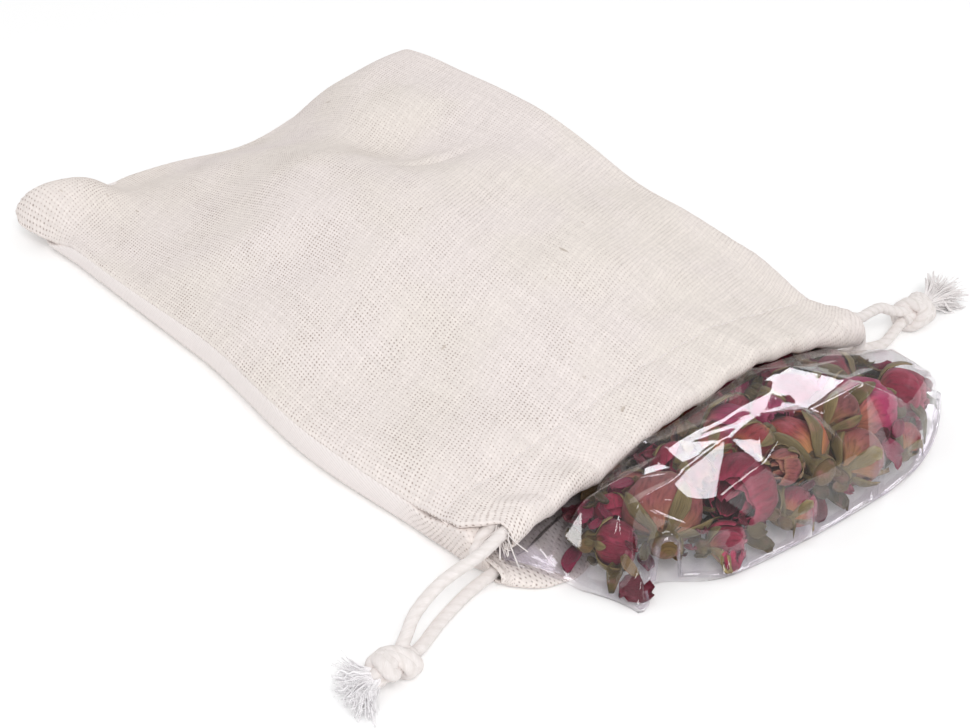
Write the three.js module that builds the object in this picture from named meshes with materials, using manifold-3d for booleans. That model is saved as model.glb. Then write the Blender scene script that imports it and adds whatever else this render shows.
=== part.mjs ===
// Potpourri sachet: a drawstring bag of plain-woven cotton lying on its back panel, with a clear film
// pouch of dried rosebuds showing at the open mouth. Millimetres, +Z up. The origin is the middle of the
// flat underside, the mouth faces -Y and the closed end +Y. "Left" is -X and "right" is +X.

import * as THREE from 'three';
import { mergeVertices } from 'three/addons/utils/BufferGeometryUtils.js';
import Module from 'manifold-3d';

const wasm = await Module();
wasm.setup();

// Driving dimensions of the bag
const BAG_WIDTH = 100;
const BAG_LENGTH = 152;
const CLOTH = 0.5;
const CLEARANCE = 0.3;
const SEAM_HEIGHT = 6;
const EDGE_CURL = 3;
const SLIT_LENGTH = 15;
const SLIT_FLARE = 6;
const CASING_DEPTH = 12;
const CASING_LIP = 2;
const MOUTH_DRAW = 5;
const SIDE_BOW = 2.2;
const SIDE_BOW_Y = -28;
const SIDE_BOW_REACH = 40;
const END_DIP = 3;
const END_DIP_X = 6;
const END_DIP_WIDTH = 16;
const END_DIP_REACH = 25;

// Form of the filled front panel
const MOUTH_END_HEIGHT = 10.2;
const MOUTH_CROWN_HEIGHT = 18.2;
const MOUTH_CROWN_X = 12;
const MOUTH_CROWN_POWER = 1.4;
const BODY_RISE = 18;
const MOUTH_BLEND = 62;
const NEAR_SLOPE = 55;
const FAR_SLOPE = 7;
const NEAR_END_SLOPE = 75;
const FAR_END_SLOPE = 16;
const END_SLOPE_POWER = 1.5;
const EDGE_POWER = 20;
const VALLEY_DEPTH = 6;
const VALLEY_WIDTH = 12;
const VALLEY_END_X = 5;
const VALLEY_LEAN = 0.14;
const VALLEY_FADE = 30;
const DENT_DEPTH = 4.5;
const DENT_RADIUS = 16;
const DENT_X = 44;
const DENT_Y = -15;

// Drawcords
const CORD = 2.2;
const CORD_SIDES = 8;
const KNOT_SIDES = 6;
const CORD_SPACE = 0.5;
const BEND_LEAD = 1;
const TAIL_LEAD = 3.2;
const KNOT_LENGTH = 8.2;
const KNOT_WIDTH = 7;
const KNOT_HEIGHT = 6.2;
const TASSEL_HEIGHT = 5;
const TASSEL_YARN = 1;
const TASSEL_YARNS = 9;

// Film pouch
const FILM = 0.35;
const POUCH_LEFT_ROOM = 10;
const POUCH_RIGHT_ROOM = 6;
const POUCH_END_ROOM = 14;
const POUCH_SHOWS = 28;
const POUCH_BULGE = 18;
const POUCH_CROWN_X = 8;
const POUCH_LEFT_TAPER = 7;
const POUCH_RIGHT_FLARE = 6;
const POUCH_TIP_X = 22;
const POUCH_LEFT_SKEW = 12;
const POUCH_RIGHT_SKEW = 11;
const POUCH_SLACK = 0.5;

// Dried rosebuds
const BUD_LENGTH = 14;
const BUD_RADIUS = 6;
const BUD_CALYX_RADIUS = 2.3;
const BUD_SMALLEST = 0.42;
const BUD_PAD = 0.1;
const PETALS = 5;
const PETAL_DEPTH = 0.07;
const PETAL_TWIST = 0.9;
const LOOSE_BUDS = 30;
const BUD_POURS = 140;
const BUD_TRIES = 900;
const BUD_SHRINK = 0.96;
const BUD_SEED = 5;
const ROWS = 9;
const ROW_PITCH = 11;
const ROW_BEAD = 9;
const ROW_SMALLEST = 2.2;

// Places that follow from the dimensions
const SIDE_X = BAG_WIDTH / 2;
const MOUTH_Y = -BAG_LENGTH / 2;
const END_Y = BAG_LENGTH / 2;
const LAYER_SPACING = CORD + 2 * CLEARANCE + CLOTH;
const FOLD_RADIUS = LAYER_SPACING / 2;
const CASING_THICKNESS = LAYER_SPACING + CLOTH;
const FOLD_Y = MOUTH_Y + CLOTH / 2 + FOLD_RADIUS;
const STITCH_Y = MOUTH_Y + CASING_DEPTH;
const LIP_Y = STITCH_Y + CASING_LIP;
const SLIT_Y = MOUTH_Y + SLIT_LENGTH;
const LEFT_CORD_Y = FOLD_Y;
const RIGHT_CORD_Y = FOLD_Y + CORD + CORD_SPACE;
const TUNNEL_END_Y = RIGHT_CORD_Y + CORD / 2 + CORD_SPACE;

// Small maths
const clamp01 = (t) => Math.min(1, Math.max(0, t));
const mix = (a, b, t) => a + (b - a) * t;
const ease = (t) => clamp01(t) ** 2 * (3 - 2 * clamp01(t));
const quarterSine = (t) => Math.sin(Math.PI / 2 * clamp01(t));
const vec = (x, y, z) => new THREE.Vector3(x, y, z);
const UPWARD = vec(0, 0, 1);
const DOWNWARD = vec(0, 0, -1);

// Evenly stepped values from -1 to 1, drawn towards both ends by `crowding`
function crowdedSteps(count, crowding) {
  return Array.from({ length: count + 1 }, (_, i) => {
    const s = 2 * i / count - 1;
    return mix(s, Math.sin(Math.PI / 2 * s), crowding);
  });
}

// A repeatable source of numbers from 0 to 1
function numbers(seed) {
  let state = seed;
  return () => {
    state = (state * 1664525 + 1013904223) % 4294967296;
    return state / 4294967296;
  };
}

// Closed meshes

function signedVolume(positions, index) {
  const corner = (i) => vec().fromArray(positions, 3 * i);
  let volume = 0;
  for (let i = 0; i < index.length; i += 3) {
    const [a, b, c] = [corner(index[i]), corner(index[i + 1]), corner(index[i + 2])];
    volume += a.dot(b.cross(c)) / 6;
  }
  return volume;
}

function closedGeometry(positions, index) {
  const outward = signedVolume(positions, index) > 0 ? index : index.slice().reverse();
  const geometry = new THREE.BufferGeometry();
  geometry.setAttribute('position', new THREE.Float32BufferAttribute(positions, 3));
  geometry.setIndex(outward);
  geometry.computeVertexNormals();
  return geometry;
}

// A sheet of even thickness. grid[i][j] holds the middle of the sheet and the direction its face looks.
function sheetGeometry(grid, thickness) {
  const wide = grid.length;
  const long = grid[0].length;
  const positions = [];
  for (const side of [1, -1]) {
    for (const row of grid) {
      for (const { middle, face } of row) {
        positions.push(...middle.clone().addScaledVector(face, side * thickness / 2).toArray());
      }
    }
  }
  const at = (side, i, j) => side * wide * long + i * long + j;
  const index = [];
  const quad = (a, b, c, d) => index.push(a, b, c, a, c, d);
  for (let i = 0; i + 1 < wide; i++) {
    for (let j = 0; j + 1 < long; j++) {
      quad(at(0, i, j), at(0, i + 1, j), at(0, i + 1, j + 1), at(0, i, j + 1));
      quad(at(1, i, j), at(1, i, j + 1), at(1, i + 1, j + 1), at(1, i + 1, j));
    }
  }
  for (let i = 0; i + 1 < wide; i++) {
    quad(at(0, i + 1, 0), at(0, i, 0), at(1, i, 0), at(1, i + 1, 0));
    quad(at(0, i, long - 1), at(0, i + 1, long - 1), at(1, i + 1, long - 1), at(1, i, long - 1));
  }
  for (let j = 0; j + 1 < long; j++) {
    quad(at(0, 0, j), at(0, 0, j + 1), at(1, 0, j + 1), at(1, 0, j));
    quad(at(0, wide - 1, j + 1), at(0, wide - 1, j), at(1, wide - 1, j), at(1, wide - 1, j + 1));
  }
  return closedGeometry(positions, index);
}

// Gives each point of a grid the direction square to its neighbours, on the side of `towards`
function withFaces(points, towards) {
  const near = (list, k) => list[Math.min(list.length - 1, Math.max(0, k))];
  return points.map((row, i) => row.map((middle, j) => {
    const across = near(points, i + 1)[j].clone().sub(near(points, i - 1)[j]);
    const along = near(row, j + 1).clone().sub(near(row, j - 1));
    const face = across.cross(along).normalize();
    return { middle, face: face.dot(towards) < 0 ? face.negate() : face };
  }));
}

// Rings of equal count joined into a closed skin, with a point at each end
function ringGeometry(start, rings, end) {
  const sides = rings[0].length;
  const positions = [start, ...rings.flat(), end].flatMap((p) => p.toArray());
  const last = 1 + rings.length * sides;
  const index = [];
  for (let k = 0; k < sides; k++) {
    const next = (k + 1) % sides;
    index.push(0, 1 + next, 1 + k);
    for (let r = 0; r + 1 < rings.length; r++) {
      const [low, high] = [1 + r * sides, 1 + (r + 1) * sides];
      index.push(low + k, low + next, high + next, low + k, high + next, high + k);
    }
    index.push(last, last - sides + k, last - sides + next);
  }
  return closedGeometry(positions, index);
}

// A route whose tube has one ring at each of its points
class Route extends THREE.CatmullRomCurve3 {
  getPointAt(u, target) {
    return this.getPoint(u, target);
  }

  getTangentAt(u, target) {
    return this.getTangent(u, target);
  }
}

function tubeGeometry(points, diameter, sides) {
  const corners = Array.from({ length: sides }, (_, k) => {
    const turn = 2 * Math.PI * k / sides;
    return new THREE.Vector2(Math.cos(turn), Math.sin(turn)).multiplyScalar(diameter / 2);
  });
  return new THREE.ExtrudeGeometry(new THREE.Shape(corners), {
    steps: points.length - 1,
    extrudePath: new Route(points),
  });
}

function solid(geometry) {
  const bare = geometry.index ? geometry.toNonIndexed() : geometry.clone();
  bare.deleteAttribute('normal');
  bare.deleteAttribute('uv');
  const merged = mergeVertices(bare, 1e-4);
  return new wasm.Manifold(new wasm.Mesh({
    numProp: 3,
    vertProperties: new Float32Array(merged.attributes.position.array),
    triVerts: new Uint32Array(merged.index.array),
  }));
}

// Joins overlapping pieces and fills any pocket that they close in between them
function joined(geometries) {
  const whole = geometries.map(solid).reduce((sum, piece) => sum.add(piece));
  const skins = whole.decompose().sort((a, b) => b.volume() - a.volume());
  const mesh = skins[0].getMesh();
  return closedGeometry(Array.from(mesh.vertProperties), Array.from(mesh.triVerts));
}

// Form of the bag

// 0 at the sides of the mouth and 1 at the top of its arch
function mouthCrown(x) {
  const reach = x < MOUTH_CROWN_X ? SIDE_X + MOUTH_CROWN_X : SIDE_X - MOUTH_CROWN_X;
  return quarterSine(1 - Math.abs(x - MOUTH_CROWN_X) / reach) ** MOUTH_CROWN_POWER;
}

// Middle of the outer layer of cloth along the front casing
const mouthHeight = (x) => mix(MOUTH_END_HEIGHT, MOUTH_CROWN_HEIGHT, mouthCrown(x));

// 0 along the side seam and 1 along the open slit beside the mouth
const slitOpen = (y) => ease((SLIT_Y + SLIT_FLARE - y) / SLIT_FLARE);

// Height of the seam between the panels: even, with a dip in the closed end
function seamHeight(x, y) {
  const nearEnd = ease((y - END_Y) / END_DIP_REACH + 1);
  return SEAM_HEIGHT - END_DIP * Math.exp(-(((x - END_DIP_X) / END_DIP_WIDTH) ** 2)) * nearEnd;
}

// The left side bows out a little along its length
function bowed(x, y) {
  const along = clamp01(1 - Math.abs(y - SIDE_BOW_Y) / SIDE_BOW_REACH);
  return x - SIDE_BOW * clamp01(-x / SIDE_X) ** 2 * ease(along);
}

// The front casing is drawn in along its cords, so it is narrower than the bag
const drawnIn = (x, y) => x * (1 - MOUTH_DRAW / SIDE_X * ease((SLIT_Y - y) / SLIT_FLARE));

// How far the filling lifts the front panel above its side seams
function bodyRise(x, y) {
  const fromLeft = quarterSine((SIDE_X + x) / NEAR_SLOPE);
  const fromRight = quarterSine((SIDE_X - x) / FAR_SLOPE);
  const endSlope = mix(NEAR_END_SLOPE, FAR_END_SLOPE, ease((SIDE_X + x) / BAG_WIDTH));
  const fromEnd = quarterSine((END_Y - y) / endSlope) ** END_SLOPE_POWER;
  const fromValley = (x - VALLEY_END_X - VALLEY_LEAN * (END_Y - y)) / VALLEY_WIDTH;
  const valley = VALLEY_DEPTH * Math.exp(-(fromValley ** 2)) * ease(y / VALLEY_FADE);
  const fromDent = Math.hypot(x - DENT_X, y - DENT_Y) / DENT_RADIUS;
  const dent = DENT_DEPTH * Math.exp(-(fromDent ** 2));
  return (BODY_RISE - valley - dent) * fromLeft * fromRight * fromEnd;
}

// Middle of the front panel's cloth, over the body and the outer layer of its casing
function frontForm(x, y) {
  const early = ease((LIP_Y + MOUTH_BLEND - y) / MOUTH_BLEND);
  const atMouth = mix(early, slitOpen(y), Math.abs(x / SIDE_X) ** EDGE_POWER);
  const body = seamHeight(x, y) + CLOTH / 2 + bodyRise(x, y);
  const drawn = drawnIn(bowed(x, y), y);
  return vec(drawn, y, mix(body, mouthHeight(drawn), atMouth));
}

// A place on the back panel's cloth: flat on the table, turning up to the seam at the sides and the end
function backForm({ x, turn: sideTurn }, { y, turn: endTurn }) {
  const sewn = 1 - slitOpen(y);
  const turn = Math.min(Math.PI / 2, Math.hypot(sideTurn, endTurn));
  const rise = (seamHeight(x, y) - CLEARANCE - CLOTH / 2) * sewn * (1 - Math.cos(turn));
  const outward = vec(Math.sign(x) * sideTurn, endTurn, 0).normalize();
  const face = outward.multiplyScalar(Math.sin(turn * sewn)).addScaledVector(DOWNWARD, Math.cos(turn * sewn));
  return { middle: vec(bowed(x, y), y, CLOTH / 2 + rise), face };
}

// Adds the turned-in mouth to a panel: round the fold, back along the tunnel and up to the stitch line
function withCasing(grid) {
  const mouthward = vec(0, -1, 0);
  const foldSteps = 4;
  const returnRows = [
    { y: TUNNEL_END_Y, spacing: LAYER_SPACING },
    { y: STITCH_Y, spacing: CLOTH + CLEARANCE },
    { y: LIP_Y, spacing: CLOTH + CLEARANCE },
  ];
  return grid.map((row) => {
    const { middle, face } = row[row.length - 1];
    const centre = middle.clone().addScaledVector(face, -FOLD_RADIUS);
    const fold = Array.from({ length: foldSteps }, (_, k) => {
      const turn = Math.PI * (k + 1) / foldSteps;
      const outward = face.clone().multiplyScalar(Math.cos(turn)).addScaledVector(mouthward, Math.sin(turn));
      return { middle: centre.clone().addScaledVector(outward, FOLD_RADIUS), face: outward };
    });
    const back = returnRows.map(({ y, spacing }) => {
      const inner = middle.clone().addScaledVector(face, -spacing);
      inner.y = y;
      return { middle: inner, face: face.clone().negate() };
    });
    return [...row, ...fold, ...back];
  });
}

const casingYs = [STITCH_Y, FOLD_Y];

const frontXs = crowdedSteps(20, 0.5).map((s) => s * SIDE_X);
const frontYs = crowdedSteps(17, 0.35).map((s) => mix(END_Y, LIP_Y, (s + 1) / 2)).concat(casingYs);
const frontGrid = withFaces(frontXs.map((x) => frontYs.map((y) => frontForm(x, y))), UPWARD);

// Stations round a curled edge, then across the flat part of the back panel
const curlTurns = [90, 60, 30, 0].map(THREE.MathUtils.degToRad);
const flatXs = frontXs.filter((x) => Math.abs(x) < SIDE_X - EDGE_CURL);
const flatYs = frontYs.filter((y, i) => i % 2 === 0 && y < END_Y - EDGE_CURL && y > SLIT_Y + SLIT_FLARE);
const curled = (edge, turn) => edge - EDGE_CURL * (1 - Math.sin(turn));
const backAcross = [
  ...curlTurns.map((turn) => ({ x: -curled(SIDE_X, turn), turn })),
  ...flatXs.map((x) => ({ x, turn: 0 })),
  ...curlTurns.slice().reverse().map((turn) => ({ x: curled(SIDE_X, turn), turn })),
];
const backAlong = [
  ...curlTurns.map((turn) => ({ y: curled(END_Y, turn), turn })),
  ...flatYs.map((y) => ({ y, turn: 0 })),
  ...[1, 0.5, 0].map((share) => ({ y: SLIT_Y + share * SLIT_FLARE, turn: 0 })),
  ...[LIP_Y, ...casingYs].filter((y) => y < SLIT_Y).map((y) => ({ y, turn: 0 })),
];
const backGrid = backAcross.map((across) => backAlong.map((along) => backForm(across, along)));

// Middles of the two tunnels, where the cords run, from left to right
function tunnelRoute(grid, y) {
  return grid.map((row) => {
    const { middle, face } = row[row.length - 1];
    const point = middle.clone().addScaledVector(face, -FOLD_RADIUS);
    point.y = y;
    return point;
  });
}

// Drawcords

const upperExitHeight = mouthHeight(SIDE_X) - FOLD_RADIUS;
const lowerExitHeight = CLOTH / 2 + FOLD_RADIUS;

// Through the front casing, round the outside of the slit on the far side and back through the back casing
function loopRoute(y, bendSide) {
  const order = (points) => (bendSide > 0 ? points : points.reverse());
  const exits = [-SIDE_X, SIDE_X].map((x) => vec(x, y, upperExitHeight));
  const there = order([exits[0], ...tunnelRoute(frontGrid, y), exits[1]]);
  const back = order(tunnelRoute(backGrid, y).filter((p, i, all) => i % 2 === 0 || i === all.length - 1));
  const high = there[there.length - 1];
  const low = back[back.length - 1];
  const radius = (high.z - low.z) / 2;
  const bendSteps = 6;
  const bend = Array.from({ length: bendSteps + 1 }, (_, k) => {
    const turn = Math.PI / 2 - Math.PI * k / bendSteps;
    const outward = BEND_LEAD + radius * Math.cos(turn);
    return vec(bendSide * (SIDE_X + outward), y, low.z + radius + radius * Math.sin(turn));
  });
  return [...there, ...bend, ...back.reverse()];
}

// The free tail on each side. Points are chosen by hand, outward from the slit (out), along the bag (y)
// and up from the table (z); the last of each strand is where it enters the knot.
const tails = [
  {
    name: 'left',
    side: -1,
    exitY: LEFT_CORD_Y,
    upper: [[6.5, -1.1, 8.9], [11.5, -2.8, 8.6], [16, -4.8, 7], [19.9, -6.4, 4.9]],
    lower: [[6.2, -2.4, 1.6], [10, -5.3, 1.7], [14.5, -7.2, 1.8], [19.8, -7.9, 2]],
    knot: [24.8, -7.3, 3.2],
    knotAim: [1, -0.1, 0],
    tasselAim: [1, 0.28, -0.02],
    tasselLength: 6.5,
    tasselSpread: 11,
  },
  {
    name: 'right',
    side: 1,
    exitY: RIGHT_CORD_Y,
    upper: [[7.4, -0.1, 7], [11.8, -0.2, 4.8]],
    lower: [[7.4, -1.2, 1.6], [11.8, -0.7, 2]],
    knot: [16.7, -0.3, 3.2],
    knotAim: [1, 0.03, 0],
    tasselAim: [1, 0.1, 0],
    tasselLength: 9,
    tasselSpread: 8,
  },
];

const tailPoint = (tail, [out, y, z]) => vec(tail.side * (SIDE_X + out), tail.exitY + y, z);
const tailAim = (tail, [out, y, z]) => vec(tail.side * out, y, z).normalize();

// Turns local +X to `aim`, keeping local +Z as near upright as it can be
function turned(aim) {
  const across = UPWARD.clone().cross(aim).normalize();
  const up = aim.clone().cross(across);
  return new THREE.Quaternion().setFromRotationMatrix(new THREE.Matrix4().makeBasis(aim, across, up));
}

// Straight out of the casing, then smoothly through the hand-chosen points, short of the knot by the clearance
function strandPoints(tail, exitHeight, chosen) {
  const leaves = [CLEARANCE, TAIL_LEAD].map((out) => vec(tail.side * (SIDE_X + out), tail.exitY, exitHeight));
  const route = new THREE.CatmullRomCurve3([...leaves, ...chosen.map((p) => tailPoint(tail, p))]);
  const count = Math.ceil(route.getLength() / (1.5 * CORD));
  const stop = 1 - CLEARANCE / route.getLength();
  return Array.from({ length: count + 1 }, (_, k) => route.getPointAt(stop * k / count));
}

// The overhand knot as a long trefoil, in the knot's own frame: the cord enters at -X and leaves at +X
function overhandPoint(t) {
  const along = (t ** 5 - 10 * t) / 8.5;
  const across = (t ** 3 - 3 * t) / 2;
  const upright = (t ** 4 - 4 * t ** 2 + 2) / 2;
  return vec(
    along * (KNOT_LENGTH - CORD) / 2,
    across * (KNOT_WIDTH - CORD) / 2,
    upright * (KNOT_HEIGHT - CORD) / 2,
  );
}

// The drawn-tight knot: its turns in short overlapping lengths, a packed core, and the cords it joins
function knotGeometry(entries) {
  const span = 1.86;
  const lengths = 5;
  const steps = 4;
  const overlap = 0.2;
  const turns = Array.from({ length: lengths }, (_, k) => {
    const from = mix(-span, span, k / lengths);
    const to = mix(-span, span, (k + 1 + overlap) / lengths);
    const points = Array.from({ length: steps + 1 }, (_, i) => overhandPoint(mix(from, to, i / steps)));
    return tubeGeometry(points, CORD, KNOT_SIDES);
  });
  const core = new THREE.SphereGeometry(1, 8, 6);
  core.scale((KNOT_LENGTH - CORD) / 2, (KNOT_WIDTH - CORD) / 2, (KNOT_HEIGHT - CORD) / 2);
  const middle = vec(0, 0, 0);
  const stubs = entries.map((entry) => tubeGeometry([entry, entry.clone().lerp(middle, 0.8)], CORD, KNOT_SIDES));
  const tail = tubeGeometry([middle, vec(KNOT_LENGTH / 2, 0, 0)], CORD, KNOT_SIDES);
  return joined([core, ...turns, ...stubs, tail]);
}

// The frayed end: a short root and yarns that splay from it, lying flatter than they are wide
function tasselGeometry({ tasselLength, tasselSpread }) {
  const rootLength = tasselLength / 4;
  const root = tubeGeometry([vec(0, 0, 0), vec(rootLength, 0, 0)], CORD, CORD_SIDES);
  const yarns = Array.from({ length: TASSEL_YARNS }, (_, k) => {
    const turn = 2 * Math.PI * k / TASSEL_YARNS;
    const reach = k % 2 === 0 ? 1 : 0.82;
    const spread = vec(0, Math.cos(turn) * (tasselSpread - TASSEL_YARN) / 2, 0);
    spread.z = Math.sin(turn) * (TASSEL_HEIGHT - TASSEL_YARN) / 2;
    const points = [0.12, 0.4, 0.7, 1].map((t) => {
      const opening = mix(0.18, 1, ease(t));
      return vec(reach * t * tasselLength, spread.y * opening, spread.z * opening);
    });
    return tubeGeometry(points, TASSEL_YARN, 4);
  });
  return joined([root, ...yarns]);
}

// Film pouch

const POUCH_END_Y = END_Y - POUCH_END_ROOM;
const INSIDE_FLOOR = CASING_THICKNESS + CLEARANCE + FILM / 2;
const TABLE_FLOOR = CLEARANCE + FILM / 2;

// 0 inside the bag and 1 once clear of the mouth
const clearOfMouth = (y) => ease((MOUTH_Y - CLEARANCE - FILM - y) / (POUCH_SHOWS / 3));

// Front edge of the pouch: furthest out at the tip, drawn back to its two corners
function pouchFrontY(x) {
  const [reach, skew] = x < POUCH_TIP_X
    ? [POUCH_TIP_X + SIDE_X, POUCH_LEFT_SKEW]
    : [SIDE_X - POUCH_TIP_X, POUCH_RIGHT_SKEW];
  return MOUTH_Y - POUCH_SHOWS + skew * ((x - POUCH_TIP_X) / reach) ** 2;
}

function pouchSides(y) {
  const out = ease((MOUTH_Y - y) / POUCH_SHOWS);
  return [-SIDE_X + POUCH_LEFT_ROOM + POUCH_LEFT_TAPER * out, SIDE_X - POUCH_RIGHT_ROOM + POUCH_RIGHT_FLARE * out];
}

const pouchFloor = (y) => mix(INSIDE_FLOOR, TABLE_FLOOR, clearOfMouth(y));

// Middle of the front film: under the front casing inside the bag, fuller outside it, down to the seals
function pouchTop(x, y) {
  const seal = pouchFloor(y) + FILM + CLEARANCE;
  const [left, right] = pouchSides(y);
  const across = clamp01(Math.abs((2 * x - left - right) / (right - left)));
  const inside = mouthHeight(x) + CLOTH / 2 - CASING_THICKNESS - 2 * CLEARANCE - FILM / 2;
  const outside = POUCH_BULGE * (1 - Math.abs((x - POUCH_CROWN_X) / BAG_WIDTH * 2) ** 2.5 / 2);
  const toFront = clamp01((MOUTH_Y - y) / (MOUTH_Y - pouchFrontY(x)));
  const toEnd = clamp01(y / POUCH_END_Y);
  const full = (1 - across ** 8) * (1 - toFront ** 8) * (1 - toEnd ** 8);
  return seal + (mix(inside, outside, clearOfMouth(y)) - seal) * full;
}

function filmGrid(countAcross, height, towards) {
  const inside = [0, 0.06, 0.16, 0.32, 0.5, 0.68, 0.85, 0.95];
  const outside = [0, 0.08, 0.2, 0.34, 0.5, 0.66, 0.8, 0.92, 1];
  const share = crowdedSteps(countAcross, 0.4).map((s) => (s + 1) / 2);
  const points = share.map((u) => [
    ...inside.map((v) => {
      const y = mix(POUCH_END_Y, MOUTH_Y, v);
      const [left, right] = pouchSides(y);
      const x = mix(left, right, u);
      return vec(x, y, height(x, y));
    }),
    ...outside.map((v) => {
      const [left, right] = pouchSides(MOUTH_Y - v * POUCH_SHOWS);
      const x = mix(left, right, u);
      const y = mix(MOUTH_Y, pouchFrontY(x), v);
      return vec(x, y, height(x, y));
    }),
  ]);
  return withFaces(points, towards);
}

// Dried rosebuds

// Radius along a bud from its stalk end (0) to its tip (1): the round calyx, its neck and the petals
function budRadius(s) {
  const calyx = BUD_CALYX_RADIUS * Math.sin(Math.PI * clamp01(s / 0.3)) ** 0.5;
  const petals = BUD_RADIUS * Math.sin(Math.PI * clamp01((s - 0.1) / 0.96)) ** 0.75;
  return Math.max(calyx, petals * ease((s - 0.16) / 0.24));
}

// A bud along its own +Z with the middle of its petals at the origin
const BUD_MIDDLE = 0.56;

function budGeometry(scale) {
  const stations = [0.06, 0.17, 0.27, 0.42, 0.6, 0.78, 0.93];
  const sides = 2 * PETALS;
  const place = (s) => (s - BUD_MIDDLE) * BUD_LENGTH * scale;
  const rings = stations.map((s) => Array.from({ length: sides }, (_, k) => {
    const turn = 2 * Math.PI * k / sides + PETAL_TWIST * s;
    const lobe = 1 - PETAL_DEPTH * ease((s - 0.25) / 0.2) * (k % 2);
    const radius = budRadius(s) * lobe * scale;
    return vec(radius * Math.cos(turn), radius * Math.sin(turn), place(s));
  }));
  return ringGeometry(vec(0, 0, place(0.02)), rings, vec(0, 0, place(0.98)));
}

// A bud is kept clear of its neighbours as two balls: its petals and its calyx
function budBalls(bud) {
  const calyx = bud.aim.clone().multiplyScalar((0.15 - BUD_MIDDLE) * BUD_LENGTH * bud.scale);
  return [
    { offset: vec(0, 0, 0), radius: BUD_RADIUS * bud.scale + BUD_PAD },
    { offset: calyx, radius: BUD_CALYX_RADIUS * bud.scale + BUD_PAD },
  ];
}

// Lets a bud down onto the film and the buds already lying there
function letDown(bud, others) {
  const balls = budBalls(bud);
  let z = -Infinity;
  for (const ball of balls) {
    const floor = pouchFloor(bud.y + ball.offset.y) + FILM / 2 + CLEARANCE;
    z = Math.max(z, floor + ball.radius - ball.offset.z);
  }
  const settleSteps = 12;
  for (let step = 0; step < settleSteps; step++) {
    for (const ball of balls) {
      for (const other of others) {
        for (const met of other.balls) {
          const dx = bud.x + ball.offset.x - met.centre.x;
          const dy = bud.y + ball.offset.y - met.centre.y;
          const apart = ball.radius + met.radius + CLEARANCE / 2;
          const left = apart ** 2 - dx ** 2 - dy ** 2;
          const height = z + ball.offset.z - met.centre.z;
          if (left > 0 && Math.abs(height) < Math.sqrt(left)) {
            z = met.centre.z + Math.sqrt(left) - ball.offset.z;
          }
        }
      }
    }
  }
  const centre = vec(bud.x, bud.y, z);
  return { ...bud, z, balls: balls.map((b) => ({ centre: centre.clone().add(b.offset), radius: b.radius })) };
}

// Whether the front film clears a bud all round its upper side
function underFilm(bud) {
  return bud.balls.every(({ centre, radius }) => [0, 0.5, 0.87].every((rise) => (
    [0, 1, 2, 3, 4, 5, 6, 7].every((k) => {
      const out = radius * Math.sqrt(1 - rise ** 2);
      const x = centre.x + out * Math.cos(Math.PI * k / 4);
      const y = centre.y + out * Math.sin(Math.PI * k / 4);
      return centre.z + radius * rise + POUCH_SLACK < pouchTop(x, y) - FILM / 2;
    })
  )) && centre.z + radius + POUCH_SLACK < pouchTop(centre.x, centre.y) - FILM / 2);
}

// Buds poured into the part of the pouch that shows, each taking the lowest of several places.
// Where the pouch has no room for all of them, smaller ones are poured.
function pouredBuds(largest = 1) {
  const random = numbers(BUD_SEED);
  const [left, right] = pouchSides(MOUTH_Y - POUCH_SHOWS / 2);
  const lying = [];
  for (let count = 0; count < BUD_POURS && lying.length < LOOSE_BUDS; count++) {
    const scale = largest * mix(1, BUD_SMALLEST, count / BUD_POURS);
    let best = null;
    for (let attempt = 0; attempt < BUD_TRIES; attempt++) {
      const heading = 2 * Math.PI * random();
      const tilt = 0.5 * (random() - 0.35);
      const aim = vec(Math.cos(heading) * Math.cos(tilt), Math.sin(heading) * Math.cos(tilt), Math.sin(tilt));
      const x = mix(left, right, random());
      const y = mix(MOUTH_Y + BUD_RADIUS, MOUTH_Y - POUCH_SHOWS, random());
      const bud = letDown({ x, y, aim, scale }, lying);
      if (underFilm(bud) && (!best || bud.z < best.z)) {
        best = bud;
      }
    }
    if (best) {
      lying.push(best);
    }
  }
  return lying.length < LOOSE_BUDS ? pouredBuds(largest * BUD_SHRINK) : lying;
}

// Half the height between the films, less the clearances, at a place inside the bag
function roomAt(x, y) {
  const low = pouchFloor(y) + FILM / 2 + CLEARANCE;
  const high = pouchTop(x, y) - FILM / 2 - POUCH_SLACK;
  return Math.min(ROW_PITCH - CLEARANCE, high - low) / 2;
}

// A row of hidden buds deep in the pouch, joined where they touch
function rowGeometry(y) {
  const sides = 6;
  const stepsPerBead = 3;
  const [left, right] = pouchSides(y);
  const step = ROW_BEAD / stepsPerBead;
  const count = Math.floor((right - left) / step);
  const xs = Array.from({ length: count }, (_, k) => left + (k + 0.5) * step);
  const roomy = xs.filter((x) => roomAt(x, y) > ROW_SMALLEST);
  const centre = (x) => vec(x, y, pouchFloor(y) + FILM / 2 + CLEARANCE + roomAt(x, y));
  const rings = roomy.map((x, i) => {
    const bead = Math.sin(Math.PI * ((i % stepsPerBead) + 0.5) / stepsPerBead);
    const radius = roomAt(x, y) * mix(0.35, 1, bead) * 0.98;
    return Array.from({ length: sides }, (_, k) => {
      const turn = 2 * Math.PI * (k + 0.5) / sides;
      return centre(x).add(vec(0, radius * Math.cos(turn), radius * Math.sin(turn)));
    });
  });
  const start = centre(roomy[0]).add(vec(-step / 2, 0, 0));
  const end = centre(roomy[roomy.length - 1]).add(vec(step / 2, 0, 0));
  return ringGeometry(start, rings, end);
}

// Materials and assembly

const finish = (color, roughness) => ({ color, roughness, metalness: 0 });
const COTTON = finish(0xd8d0c6, 0.95);
const CORD_COTTON = finish(0xe6e2dc, 0.9);
const CLEAR_FILM = { ...finish(0xdfe0e4, 0.08), transparent: true, opacity: 0.25 };
const PETAL = finish(0x8a1f45, 0.8);
const DRY_PETAL = finish(0x9a6a3a, 0.85);

const sachet = new THREE.Group();

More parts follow.
